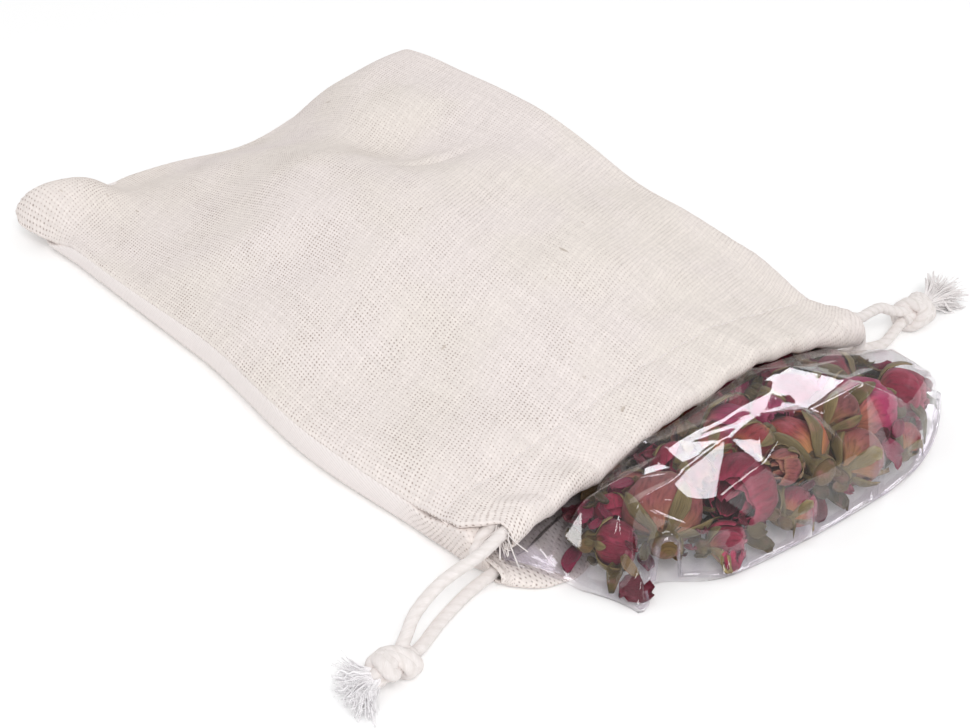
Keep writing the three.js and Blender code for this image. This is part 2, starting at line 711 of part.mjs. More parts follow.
function add(name, geometry, look, position = vec(0, 0, 0), quaternion = new THREE.Quaternion()) {
  const mesh = new THREE.Mesh(geometry, new THREE.MeshStandardMaterial(look));
  mesh.name = name;
  mesh.position.copy(position);
  mesh.quaternion.copy(quaternion);
  sachet.add(mesh);
}

add('front_panel', sheetGeometry(withCasing(frontGrid), CLOTH), COTTON);
add('back_panel', sheetGeometry(withCasing(backGrid), CLOTH), COTTON);
add('left_cord_loop', tubeGeometry(loopRoute(LEFT_CORD_Y, 1), CORD, CORD_SIDES), CORD_COTTON);
add('right_cord_loop', tubeGeometry(loopRoute(RIGHT_CORD_Y, -1), CORD, CORD_SIDES), CORD_COTTON);

for (const tail of tails) {
  const upper = strandPoints(tail, upperExitHeight, tail.upper);
  const lower = strandPoints(tail, lowerExitHeight, tail.lower);
  add(`${tail.name}_cord_strand_upper`, tubeGeometry(upper, CORD, CORD_SIDES), CORD_COTTON);
  add(`${tail.name}_cord_strand_lower`, tubeGeometry(lower, CORD, CORD_SIDES), CORD_COTTON);

  const knot = tailPoint(tail, tail.knot);
  const knotTurn = turned(tailAim(tail, tail.knotAim));
  const entries = [tail.upper, tail.lower].map((chosen) => (
    tailPoint(tail, chosen[chosen.length - 1]).sub(knot).applyQuaternion(knotTurn.clone().invert())
  ));
  add(`${tail.name}_knot`, knotGeometry(entries), CORD_COTTON, knot, knotTurn);

  const tasselStart = vec(KNOT_LENGTH / 2 + CLEARANCE, 0, 0).applyQuaternion(knotTurn).add(knot);
  const tasselTurn = turned(tailAim(tail, tail.tasselAim));
  add(`${tail.name}_tassel`, tasselGeometry(tail), CORD_COTTON, tasselStart, tasselTurn);
}

add('pouch_front_film', sheetGeometry(filmGrid(14, pouchTop, UPWARD), FILM), CLEAR_FILM);
add('pouch_back_film', sheetGeometry(filmGrid(8, (x, y) => pouchFloor(y), DOWNWARD), FILM), CLEAR_FILM);

pouredBuds().forEach((bud, i) => {
  const turn = new THREE.Quaternion().setFromUnitVectors(UPWARD, bud.aim);
  const look = i % 4 === 3 ? DRY_PETAL : PETAL;
  add(`rosebud_${String(i + 1).padStart(2, '0')}`, budGeometry(bud.scale), look, vec(bud.x, bud.y, bud.z), turn);
});

for (let row = 0; row < ROWS; row++) {
  const y = MOUTH_Y + SLIT_LENGTH + CLEARANCE + (row + 0.5) * ROW_PITCH;
  add(`rosebud_row_${row + 1}`, rowGeometry(y), PETAL);
}

export default sachet;
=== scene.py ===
"""The potpourri sachet as it looks: cotton bag, twisted drawcords, clear film pouch and dried rosebuds."""

import math

import bpy
import numpy as np
from mathutils import Matrix, Vector


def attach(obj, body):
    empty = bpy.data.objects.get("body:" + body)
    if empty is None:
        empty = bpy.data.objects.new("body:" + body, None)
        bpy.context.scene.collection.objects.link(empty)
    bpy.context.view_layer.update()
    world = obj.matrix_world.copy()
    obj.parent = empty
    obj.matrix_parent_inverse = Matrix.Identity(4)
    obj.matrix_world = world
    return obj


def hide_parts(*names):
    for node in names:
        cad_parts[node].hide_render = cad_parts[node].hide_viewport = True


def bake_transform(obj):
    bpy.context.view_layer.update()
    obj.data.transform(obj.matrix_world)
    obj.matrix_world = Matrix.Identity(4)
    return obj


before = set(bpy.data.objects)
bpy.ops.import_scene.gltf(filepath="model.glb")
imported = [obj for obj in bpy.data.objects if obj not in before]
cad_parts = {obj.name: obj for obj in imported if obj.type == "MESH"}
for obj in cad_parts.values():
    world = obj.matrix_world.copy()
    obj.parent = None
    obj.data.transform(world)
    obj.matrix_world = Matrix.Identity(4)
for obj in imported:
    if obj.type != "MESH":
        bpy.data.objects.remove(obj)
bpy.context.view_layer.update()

# Millimetres in metres
MM = 0.001

# Sizes in millimetres, as in the part
BAG_WIDTH = 100
BAG_LENGTH = 152
CLOTH = 0.5
CLEARANCE = 0.3
SEAM_HEIGHT = 6
EDGE_CURL = 3
SLIT_LENGTH = 15
SLIT_FLARE = 6
CASING_DEPTH = 12
CASING_LIP = 2
MOUTH_DRAW = 5
SIDE_BOW = 2.2
SIDE_BOW_Y = -28
SIDE_BOW_REACH = 40
END_DIP = 3
END_DIP_X = 6
END_DIP_WIDTH = 16
END_DIP_REACH = 25
MOUTH_END_HEIGHT = 10.2
MOUTH_CROWN_HEIGHT = 18.2
MOUTH_CROWN_X = 12
MOUTH_CROWN_POWER = 1.4
BODY_RISE = 18
MOUTH_BLEND = 62
NEAR_SLOPE = 55
FAR_SLOPE = 7
NEAR_END_SLOPE = 75
FAR_END_SLOPE = 16
END_SLOPE_POWER = 1.5
EDGE_POWER = 20
VALLEY_DEPTH = 6
VALLEY_WIDTH = 12
VALLEY_END_X = 5
VALLEY_LEAN = 0.14
VALLEY_FADE = 30
DENT_DEPTH = 4.5
DENT_RADIUS = 16
DENT_X = 44
DENT_Y = -15
CORD = 2.2
CORD_SPACE = 0.5
KNOT_LENGTH = 8.2
FILM = 0.35
POUCH_LEFT_ROOM = 10
POUCH_RIGHT_ROOM = 6
POUCH_END_ROOM = 14
POUCH_SHOWS = 28
POUCH_BULGE = 18
POUCH_CROWN_X = 8
POUCH_LEFT_TAPER = 7
POUCH_RIGHT_FLARE = 6
POUCH_TIP_X = 22
POUCH_LEFT_SKEW = 12
POUCH_RIGHT_SKEW = 11
POUCH_SLACK = 0.5
BUD_LENGTH = 14
BUD_RADIUS = 6
BUD_CALYX_RADIUS = 2.3
BUD_MIDDLE = 0.56
LOOSE_BUDS = 30
ROWS = 9
ROW_PITCH = 11
ROW_BEAD = 9
ROW_SMALLEST = 2.2

# Sizes in millimetres of what only shows here
ON_TABLE = 0.03
THREAD_PITCH = 0.64
WEFT_PITCH = 0.83
WEFT_SKEW = 0.36
BACK_TURN = 0.45
SEAM_ROLL = 0.4
SEAM_ALLOWANCE = 3
SEAM_LAP = -0.35
SEAM_CLIMB = 3
SEAM_CLIMB_Y = -15
SEAM_CLIMB_REACH = 65
SEAM_CLIMB_WIDTH = 28
WALL_INSET = 0.1
SIDE_BOW_MORE = 1
EDGE_PUFF = 0.5
EDGE_PUFF_REACH = 6
EAR_RISE = 10.5
EAR_X = -43
EAR_Y = 71
EAR_WIDTH = 10
EAR_DEPTH = 9
EAR_ROUND = 6
EAR_DIVE = 4.6
EAR_DIVE_X = 12
EAR_DIVE_Y = 15
EAR_REACH = 9
EAR_PUSH_X = -3.6
EAR_PUSH_Y = 7.5
EAR_PUSH_Z = 1
EAR_PUSH_BLEND = 4
EAR_TUCK = -0.3
NEAR_CORNER_ROUND = 7
FAR_CORNER_ROUND = 18
FAR_CORNER_DROP = 7
FAR_CORNER_REACH = 12
FAR_CORNER_EDGE = 5
NOTCH_DEPTH = 1.2
NOTCH_X = -31
NOTCH_Y = 74
NOTCH_WIDTH = 3.6
NOTCH_LENGTH = 6
SHOULDER_RISE = 4
SHOULDER_X = 28
SHOULDER_Y = 71
SHOULDER_WIDTH = 11
SHOULDER_DEPTH = 9
LUMP_EDGE = 9
GATHER_SWAY = 0.12
GATHER_SWAY_WIDTH = 14
CREASE_X = 14
CREASE_LEAN = 0.35
CREASE_LENGTH = 8
PUCKER = 0.14
PUCKER_PITCH = 3.4
PUCKER_REACH = 1.8
PUCKER_STRAY = 30
SLIT_GAP = 1.7
SLIT_NARROWS = 1.2
OPEN_ROLL = 0.03
OPEN_WALL = 0.02
CORNER_ROLL = 0.3
EDGE_INSET = 0.4
WALL_TONE_Z = 0.8
WALL_TONE_RISE = 1.5
WALL_TONE_SLIT = 2
WALL_TONE_FADE = 12
SLIT_STAYS = 8.5
SLIT_ENDS = 5.5
NEAR_DRAW_Y = -68
NEAR_DRAW_REACH = 6
FAR_DRAW_Y = -45
FAR_DRAW_REACH = 21
BACK_DRAW = 1
CASING_END_LIFT = 2.6
NEAR_CASING_SWELL = 0.35
FAR_CASING_SWELL = 1.1
BEND_TUCK = 1.3
CASING_END_REACH = 8
HEM_Y = -71.5
HEM_RISE = 10
HEM_FALL_X = -36
HEM_FALL = 26
HEM_FORWARD = 7.2
HEM_FLAT = 0.3
HEM_START = 1
HEM_WAVE = 0.08
HEM_WAVE_SIZE = 9
STITCH = 2.3
STITCH_GAP = 0.7
STITCH_THREAD = 0.28
STITCH_DENT = 0.3
STITCH_DENT_WIDTH = 0.8
CORD_LOBES = 3
CORD_LOBE_DEPTH = 0.13
CORD_TWIST = 6.5
KNOT_STRAND = 2.5
KNOT_WRAP = (2.1, 2.4, 2.1)
FLUFF = 0.3
FLUFF_HEIGHT = 0.7
KNOT_START = 0.8
KNOT_APART = 0.55
KNOT_TWIST = 0.8
KNOT_REACH = 0.8
KNOT_IN = (0.7, 0.5, 0.5)
KNOT_OUT = (1.1, 0.6, 0.6)
TASSEL_ROOT = 0.22
TASSEL_TUCK = 1
STUB_START = 1.8
STUB_RADII = (0.95, 0.7)
STUB_LAY = 0.1
FLUFF_REACH = 0.74
YARN_END = 0.55
YARN = 0.42
FIBRE = 0.17
TASSEL_YARNS = 80
TASSEL_FIBRES = 300
BUD_SWELL = 1.2
BUD_SPAN = 0.96
STALK_END = 0.02
HIP_MIDDLE = 0.15
HIP_END = 0.3
HIP_POWER = 0.5
STALK = 0.55
STALK_TIP = 0.5
PETALS_FROM = 0.1
PETALS_SPAN = 0.96
PETALS_POWER = 0.75
PETALS_SHOW = 0.16
PETALS_BLEND = 0.24
DRY_EVERY = 4
DRY_SHARE = 0.25
ROW_SWELL = 1.15
ROW_STRAY = 1.4
ROW_AIM_STRAY = 0.7
ROW_AIM_LIFT = 0.12
PETAL_START = 0.2
PETAL_TURN = 2.4
PETAL_THICKNESS = 0.16
PETAL_STRAY = 0.12
PETAL_WIDTHS = (1.25, 0.8)
PETAL_WAIST = 0.55
PETAL_TIPS = (0.9, 1.0)
PETAL_TIP_STRAY = (-0.05, 0.015)
PETAL_NOTCH = 0.035
PETAL_NOTCH_WIDTH = 0.22
PETAL_ROUND = 0.13
PETAL_TWIST = 0.35
PETAL_RADII = (0.97, 0.42)
PETAL_LAP = 0.05
PETAL_FLARE = 0.28
PETAL_CREASE = 0.1
PETAL_FINE_CREASE = 0.07
PETAL_TUCK = 0.12
SEPALS = 5
SEPAL_START = 0.12
SEPAL_THICKNESS = 0.18
SEPAL_STRAY = 0.15
SEPAL_TIPS = (0.5, 0.82)
SEPAL_WIDTH = 0.42
SEPAL_POINT = 0.02
SEPAL_CURL = 0.9
SEPAL_LEAST_RADIUS = 1.5
SEPAL_OFF = 0.2
SEPAL_KEEL = 0.12
FILM_SKIN = 0.1
FILM_COLUMNS = 150
FILM_INSIDE_ROWS = 110
FILM_OUTSIDE_ROWS = 64
FILM_OVER_BUDS = 0.35
FILM_SETTLING = 500
FILM_CRUMPLE = 3.2
FILM_FIN = 1.5
FILM_SIDE_FIN = 2
FILM_SEAL = 0.9
FILM_BACK = 5
FILM_BACK_X = -28
FILM_BACK_WIDTH = 6
FILM_SPREAD = 6
FILM_SPREAD_REACH = 13
FILM_FACET = (16, 16)
FILM_BACK_RISE = 4
FILM_LAP = 1
FACET_SETTLING = 8
FACET_STRAY = 0.36
FIN_START = 3
FIN_BLEND = 12
FIN_SLOPE = 3
FIN_HEIGHT = 0.35
FIN_WAVE = 0.3
FIN_WAVE_SIZE = 9
SHOWING_START = 4
SHOWING_BLEND = 10
RIPPLE = 0.28
RIPPLE_SIZE = 15
RIPPLE_RIM = 0.06
CRINKLE = 0.05
CRINKLE_SIZE = 6.5
SEAL_EDGE = 0.3
UNDER_CRUMPLE = 0.12
BIT_SPACING = 2.6
BIT_LARGEST = 3
BIT_SMALLEST = 1.2
BIT_UNDER_FILM = 2
BIT_ROOM = 0.2
BIT_BEHIND_MOUTH = 8
BIT_FROM_FRONT = 3.5
BIT_FROM_SIDE = 2.5
HIDDEN_FROM_END = 12
HIDDEN_FROM_SIDE = 5
BIT_HEIGHTS = (7.5, 6, 4.5, 3, 1.6)
BIT_TRIES = 1200
HIDDEN_BITS = 420
HIDDEN_HEIGHTS = (0.8, 2.6)
FRAY_THREADS = {-1: 22, 1: 5}
FRAY_SHORTEST = 1.5
FRAY_LONGEST = 5
FRAY_ALONG = (-1.8, 3)
FRAY_THREAD = 0.24
FRAY_LOWEST = 0.4

# Camera in millimetres and degrees, light, and floor in metres
CAMERA_AZIMUTH = -41.187
CAMERA_ELEVATION = 34.923
CAMERA_DISTANCE = 321.86
CAMERA_TARGET = (-14.18, -34.39, 8.0)
CAMERA_FOCUS_PIXELS = 1700
IMAGE_WIDTH = 970
SENSOR = 36
WORLD_LIGHT = 0.735
FLOOR_GLOW = 0.1
WORLD_IN_GLOSS = 0.3
LAMP_AIM = (0, -0.03, 0)
FLOOR_SIZE = 6

# How finely curves and cloth are drawn
CURVE_POINTS = 24
BAG_STEP = 0.75
BACK_STEP = 1
CASING_STEP = 0.5
CORD_STEP = 0.55
KNOT_STEP = 0.35
CORD_STEP_IN_STUB = 0.5

# Petals of a bud, points across and along a petal and a sepal, sides and rings of the hip
SEEN_BUD = (8, (11, 12), (5, 9), 12, 8)
HIDDEN_BUD = (5, (7, 7), (3, 5), 8, 5)

# Seeds of what is scattered
TASSEL_SEED = 40
FRAY_SEED = 60
FILM_SEED = 64
BIT_SEED = 77
BUD_SEED = 700
ROW_SEED = 900

# Height, size and seed of the soft lumps, and the reach from the mouth of the gathers
LUMPS = ((0.65, 44, 5), (0.32, 21, 8))
GATHERS = ((0.36, 8.5, 12, 17), (0.2, 3.1, 13, 5))

# Height, place along the bag and width of the creases
CREASES = ((-0.7, 14, 1.5), (0.5, 17, 2))

# Slopes in degrees at which the near, far and closed edges start to roll under
ROLL_SLOPES = (27, 76, 20)

# Places that follow from the sizes
SIDE_X = BAG_WIDTH / 2
MOUTH_Y = -BAG_LENGTH / 2
END_Y = BAG_LENGTH / 2
LAYER_SPACING = CORD + 2 * CLEARANCE + CLOTH
FOLD_RADIUS = LAYER_SPACING / 2
CASING_THICKNESS = LAYER_SPACING + CLOTH
FOLD_Y = MOUTH_Y + CLOTH / 2 + FOLD_RADIUS
STITCH_Y = MOUTH_Y + CASING_DEPTH
LIP_Y = STITCH_Y + CASING_LIP
SLIT_Y = MOUTH_Y + SLIT_LENGTH
LEFT_CORD_Y = FOLD_Y
RIGHT_CORD_Y = FOLD_Y + CORD + CORD_SPACE
TUNNEL_END_Y = RIGHT_CORD_Y + CORD / 2 + CORD_SPACE
POUCH_END_Y = END_Y - POUCH_END_ROOM
INSIDE_FLOOR = CASING_THICKNESS + CLEARANCE + FILM / 2
TABLE_FLOOR = CLEARANCE + FILM / 2


# Small maths


def clamp01(t):
    return np.clip(t, 0, 1)


def mix(a, b, t):
    return a + (b - a) * t


def ease(t):
    return clamp01(t) ** 2 * (3 - 2 * clamp01(t))


def quarter_sine(t):
    return np.sin(np.pi / 2 * clamp01(t))


def unit(v):
    v = np.asarray(v, float)
    return v / np.maximum(np.linalg.norm(v, axis=-1, keepdims=True), 1e-12)


def waves(x, y, size, seed, count=8):
    """A smooth field of about -1 to 1, with bumps about half of size across."""
    rng = np.random.default_rng(seed)
    total = np.zeros(np.broadcast(x, y).shape)
    for _ in range(count):
        heading = rng.uniform(0, 2 * np.pi)
        length = size * rng.uniform(0.75, 1.5)
        phase = rng.uniform(0, 2 * np.pi)
        total += np.sin(2 * np.pi * (x * np.cos(heading) + y * np.sin(heading)) / length + phase)
    return total / math.sqrt(count)


def facets(x, y, size, seed, count=5):
    """A crumpled field of about -1 to 1: flat patches that meet in straight creases."""
    rng = np.random.default_rng(seed)
    total = np.zeros(np.broadcast(x, y).shape)
    for _ in range(count):
        heading = rng.uniform(0, 2 * np.pi)
        length = size * rng.uniform(0.7, 1.6)
        t = (x * np.cos(heading) + y * np.sin(heading)) / length + rng.uniform()
        total += 4 * np.abs(t - np.floor(t + 0.5)) - 1
    return total / math.sqrt(count)


# Meshes


class Shape:
    """Gathers points, faces, texture places and tones, and makes one mesh of them."""

    def __init__(self):
        self.points = []
        self.faces = []
        self.places = []
        self.tones = []
        self.count = 0

    def add(self, points, faces, places=None, tones=None):
        points = np.asarray(points, float).reshape(-1, 3)
        total = len(points)
        self.points.append(points)
        self.faces.extend(tuple(int(i) + self.count for i in face) for face in faces)
        self.places.append(np.zeros((total, 2)) if places is None else np.reshape(places, (-1, 2)))
        self.tones.append(np.ones((total, 4)) if tones is None else np.reshape(tones, (-1, 4)))
        self.count += total

    def turned(self, matrix):
        """Moves all that was gathered so far."""
        m = np.array(matrix)
        self.points = [p @ m[:3, :3].T + m[:3, 3] for p in self.points]

    def rested(self):
        """Flattens whatever would reach under the table against it."""
        for points in self.points:
            points[:, 2] = np.maximum(points[:, 2], ON_TABLE)

    def lifted(self, floor):
        """Moves all that was gathered up until none of it is below the floor, and tells how far."""
        lift = max(0, floor - min(points[:, 2].min() for points in self.points))
        for points in self.points:
            points[:, 2] += lift
        return (0, 0, lift)

    def tucked(self, ceiling):
        """Presses whatever would reach through a ceiling, a height over each place, down under it."""
        for points in self.points:
            points[:, 2] = np.minimum(points[:, 2], ceiling(points[:, 0], points[:, 1]))

    def take(self, other):
        """Adds what another shape gathered."""
        self.add(
            np.concatenate(other.points),
            other.faces,
            np.concatenate(other.places),
            np.concatenate(other.tones),
        )

    def piece(self, name, material, slot):
        mesh = bpy.data.meshes.new(name)
        points = np.concatenate(self.points) * MM
        mesh.from_pydata([tuple(p) for p in points], [], self.faces)
        mesh.update()
        corner = np.zeros(len(mesh.loops), np.int32)
        mesh.loops.foreach_get("vertex_index", corner)
        layer = mesh.uv_layers.new(name="thread")
        layer.data.foreach_set("uv", np.concatenate(self.places)[corner].astype(np.float32).ravel())
        tone = mesh.attributes.new("tone", "FLOAT_COLOR", "POINT")
        tone.data.foreach_set("color", np.concatenate(self.tones).astype(np.float32).ravel())
        mesh.shade_smooth()
        mesh.materials.append(material)
        piece = bpy.data.objects.new(name, mesh)
        bpy.context.scene.collection.objects.link(piece)
        return piece


def face_directions(grid):
    across = np.gradient(grid, axis=0)
    along = np.gradient(grid, axis=1)
    return unit(np.cross(across, along))


def closed_sheet(shape, grid, thickness, places=None, tones=None):
    """A grid of points made into a closed skin of even thickness, with the grid in its middle."""
    wide, long = grid.shape[:2]
    half = face_directions(grid) * thickness / 2
    i, j = np.meshgrid(np.arange(wide - 1), np.arange(long - 1), indexing="ij")
    low = (i * long + j).ravel()
    top = np.stack([low, low + long, low + long + 1, low + 1], 1)
    under = top[:, ::-1] + wide * long
    faces = [*top, *under]
    rim = list(range(long))
    rim += [i * long + long - 1 for i in range(1, wide)]
    rim += [(wide - 1) * long + j for j in range(long - 2, -1, -1)]
    rim += [i * long for i in range(wide - 2, 0, -1)]
    for a, b in zip(rim, rim[1:] + rim[:1]):
        faces.append((a, b, b + wide * long, a + wide * long))
    doubled = np.concatenate([(grid + half).reshape(-1, 3), (grid - half).reshape(-1, 3)])

    def twice(values):
        return None if values is None else np.concatenate([values.reshape(wide * long, -1)] * 2)

    shape.add(doubled, faces, twice(places), twice(tones))


def gone_along(path):
    """How far along a line each of its points is."""
    return np.concatenate([[0], np.cumsum(np.linalg.norm(np.diff(path, axis=0), axis=1))])


def even_path(points, step):
    """A smooth line through the points, as points about one step apart."""
    points = np.asarray(points, float)
    p = np.concatenate([[2 * points[0] - points[1]], points, [2 * points[-1] - points[-2]]])
    t = np.linspace(0, 1, CURVE_POINTS, endpoint=False)[:, None]
    runs = []
    for a, b, c, d in zip(p, p[1:], p[2:], p[3:]):
        curve = 2 * b + (c - a) * t + (2 * a - 5 * b + 4 * c - d) * t**2 + (3 * b - a - 3 * c + d) * t**3
        runs.append(curve / 2)
    fine = np.concatenate([*runs, points[-1:]])
    gone = gone_along(fine)
    stops = np.linspace(0, gone[-1], max(2, int(round(gone[-1] / step)) + 1))
    return np.stack([np.interp(stops, gone, fine[:, k]) for k in range(3)], 1)


def path_frames(path):
    """For each point of a line, two directions square to it that turn with it as little as they can."""
    heading = unit(np.gradient(path, axis=0))
    side = np.zeros_like(path)
    side[0] = unit(np.cross(heading[0], (0, 0, 1) if abs(heading[0][2]) < 0.9 else (1, 0, 0)))
    for k in range(1, len(path)):
        side[k] = unit(side[k - 1] - heading[k] * np.dot(side[k - 1], heading[k]))
    return side, np.cross(heading, side)


def tube(shape, path, radius, sides, lobes=0, depth=0.0, pitch=1.0, tones=None):
    """A closed tube along a line. Lobes give it the grooves of a twisted cord, one turn every pitch."""
    side, up = path_frames(path)
    count = len(path)
    gone = gone_along(path)[:, None]
    turn = 2 * np.pi * np.arange(sides) / sides
    angle = turn - 2 * np.pi * gone / pitch
    groove = np.ones_like(angle)
    if lobes:
        groove = 1 - depth * (1 - np.abs(np.sin(lobes / 2 * angle))) ** 1.5
    out = side[:, None] * np.cos(turn)[:, None] + up[:, None] * np.sin(turn)[:, None]
    rings = path[:, None] + out * (np.broadcast_to(radius, count)[:, None] * groove)[:, :, None]
    faces = []
    for r in range(count - 1):
        for k in range(sides):
            n = (k + 1) % sides
            faces.append((r * sides + k, r * sides + n, (r + 1) * sides + n, (r + 1) * sides + k))
    faces.append(tuple(range(sides - 1, -1, -1)))
    faces.append(tuple((count - 1) * sides + k for k in range(sides)))
    places = np.stack([angle / (2 * np.pi), np.broadcast_to(gone, angle.shape)], 2)
    marks = np.ones((count, sides, 4))
    # The groove's depth goes into the tone, where the cord's material paints shade in the grooves
    marks[:, :, 0] = groove
    if tones is not None:
        marks[:, :, 1] = np.broadcast_to(tones, count)[:, None]
    shape.add(rings, faces, places, marks)


# Camera and lamps


def set_camera():
    azimuth, elevation = math.radians(CAMERA_AZIMUTH), math.radians(CAMERA_ELEVATION)
    flat = math.cos(elevation)
    back = Vector((math.sin(azimuth) * flat, -math.cos(azimuth) * flat, math.sin(elevation)))
    camera = bpy.data.objects.new("camera", bpy.data.cameras.new("camera"))
    camera.data.sensor_width = SENSOR
    camera.data.lens = CAMERA_FOCUS_PIXELS / IMAGE_WIDTH * SENSOR
    camera.data.clip_start = 0.01
    camera.location = (Vector(CAMERA_TARGET) + back * CAMERA_DISTANCE) * MM
    camera.rotation_mode = "QUATERNION"
    camera.rotation_quaternion = (-back).to_track_quat("-Z", "Y")
    bpy.context.scene.collection.objects.link(camera)
    bpy.context.scene.camera = camera


def soft_lamp(name, place, size, power, colour=(1, 1, 1), only_gloss=False):
    lamp = bpy.data.objects.new(name, bpy.data.lights.new(name, "AREA"))
    lamp.data.shape = "RECTANGLE"
    lamp.data.size, lamp.data.size_y = size
    lamp.data.energy = power
    lamp.data.color = colour
    lamp.location = place
    lamp.rotation_mode = "QUATERNION"
    lamp.rotation_quaternion = (Vector(LAMP_AIM) - Vector(place)).to_track_quat("-Z", "Y")
    lamp.visible_diffuse = not only_gloss
    bpy.context.scene.collection.objects.link(lamp)


bpy.context.scene.view_settings.view_transform = "Standard"
set_camera()


# Materials


class Look:
    """A material and short ways to wire its nodes. A value is a number, a colour or another node's output."""

    def __init__(self, name):
        self.material = bpy.data.materials.new(name)
        self.material.use_nodes = True
        self.nodes = self.material.node_tree.nodes
        self.links = self.material.node_tree.links
        self.nodes.clear()

    def put(self, socket, value):
        if isinstance(value, bpy.types.NodeSocket):
            self.links.new(value, socket)
        else:
            socket.default_value = value

    def node(self, kind, values=(), **settings):
        made = self.nodes.new(kind)
        for name, value in settings.items():
            setattr(made, name, value)
        for name, value in dict(values).items():
            self.put(made.inputs[name], value)
        return made

    def math(self, operation, a, b=0.0, c=0.0):
        made = self.nodes.new("ShaderNodeMath")
        made.operation = operation
        for socket, value in zip(made.inputs, (a, b, c)):
            self.put(socket, value)
        return made.outputs[0]

    def mixed(self, share, a, b, kind="MIX"):
        made = self.nodes.new("ShaderNodeMix")
        made.data_type = "RGBA"
        made.blend_type = kind
        self.put(made.inputs[0], share)
        self.put(made.inputs[6], a)
        self.put(made.inputs[7], b)
        return made.outputs[2]

    def ranged(self, value, low, high, to_low=0.0, to_high=1.0):
        made = self.node("ShaderNodeMapRange", interpolation_type="SMOOTHSTEP")
        names = ("Value", "From Min", "From Max", "To Min", "To Max")
        for name, number in zip(names, (value, low, high, to_low, to_high)):
            self.put(made.inputs[name], number)
        return made.outputs[0]

    def noise(self, place, scale, detail=2.0):
        made = self.node("ShaderNodeTexNoise", {"Vector": place, "Scale": scale, "Detail": detail})
        return made.outputs["Fac"]

    def vector(self, operation, a, b=(0, 0, 0), scale=1.0):
        return self.node("ShaderNodeVectorMath", {0: a, 1: b, 3: scale}, operation=operation).outputs[0]

    def stretched(self, place, across, along):
        return self.vector("MULTIPLY", place, (across, along, 1))

    def thread_place(self):
        return self.node("ShaderNodeUVMap", uv_map="thread").outputs[0]

    def tone(self):
        return self.node("ShaderNodeAttribute", attribute_name="tone").outputs["Color"]

    def tone_part(self, number):
        return self.node("ShaderNodeSeparateColor", {0: self.tone()}).outputs[number]

    def bump(self, height, strength, depth):
        made = self.node("ShaderNodeBump", {"Strength": strength, "Distance": depth, "Height": height})
        return made.outputs[0]

    def dull(self, colour, roughness, gloss, normal, sheen=0.0):
        """A surface that scatters the light, with a little gloss."""
        values = {"Base Color": colour, "Roughness": roughness, "Specular IOR Level": gloss, "Normal": normal}
        return self.node("ShaderNodeBsdfPrincipled", {**values, "Sheen Weight": sheen})

    def joined(self, share, a, b):
        """One shader with a share of another."""
        return self.node("ShaderNodeMixShader", {0: share, 1: a.outputs[0], 2: b.outputs[0]})

    def body_place(self):
        return self.node("ShaderNodeTexCoord").outputs["Object"]

    def surface(self, shader):
        self.links.new(shader.outputs[0], self.node("ShaderNodeOutputMaterial").inputs["Surface"])
        return self.material


def shade(r, g, b):
    """A colour as it looks on a screen, 0 to 255, as a scene colour."""
    def linear(v):
        v = v / 255
        return v / 12.92 if v <= 0.04045 else ((v + 0.055) / 1.055) ** 2.4
    return (linear(r), linear(g), linear(b), 1)


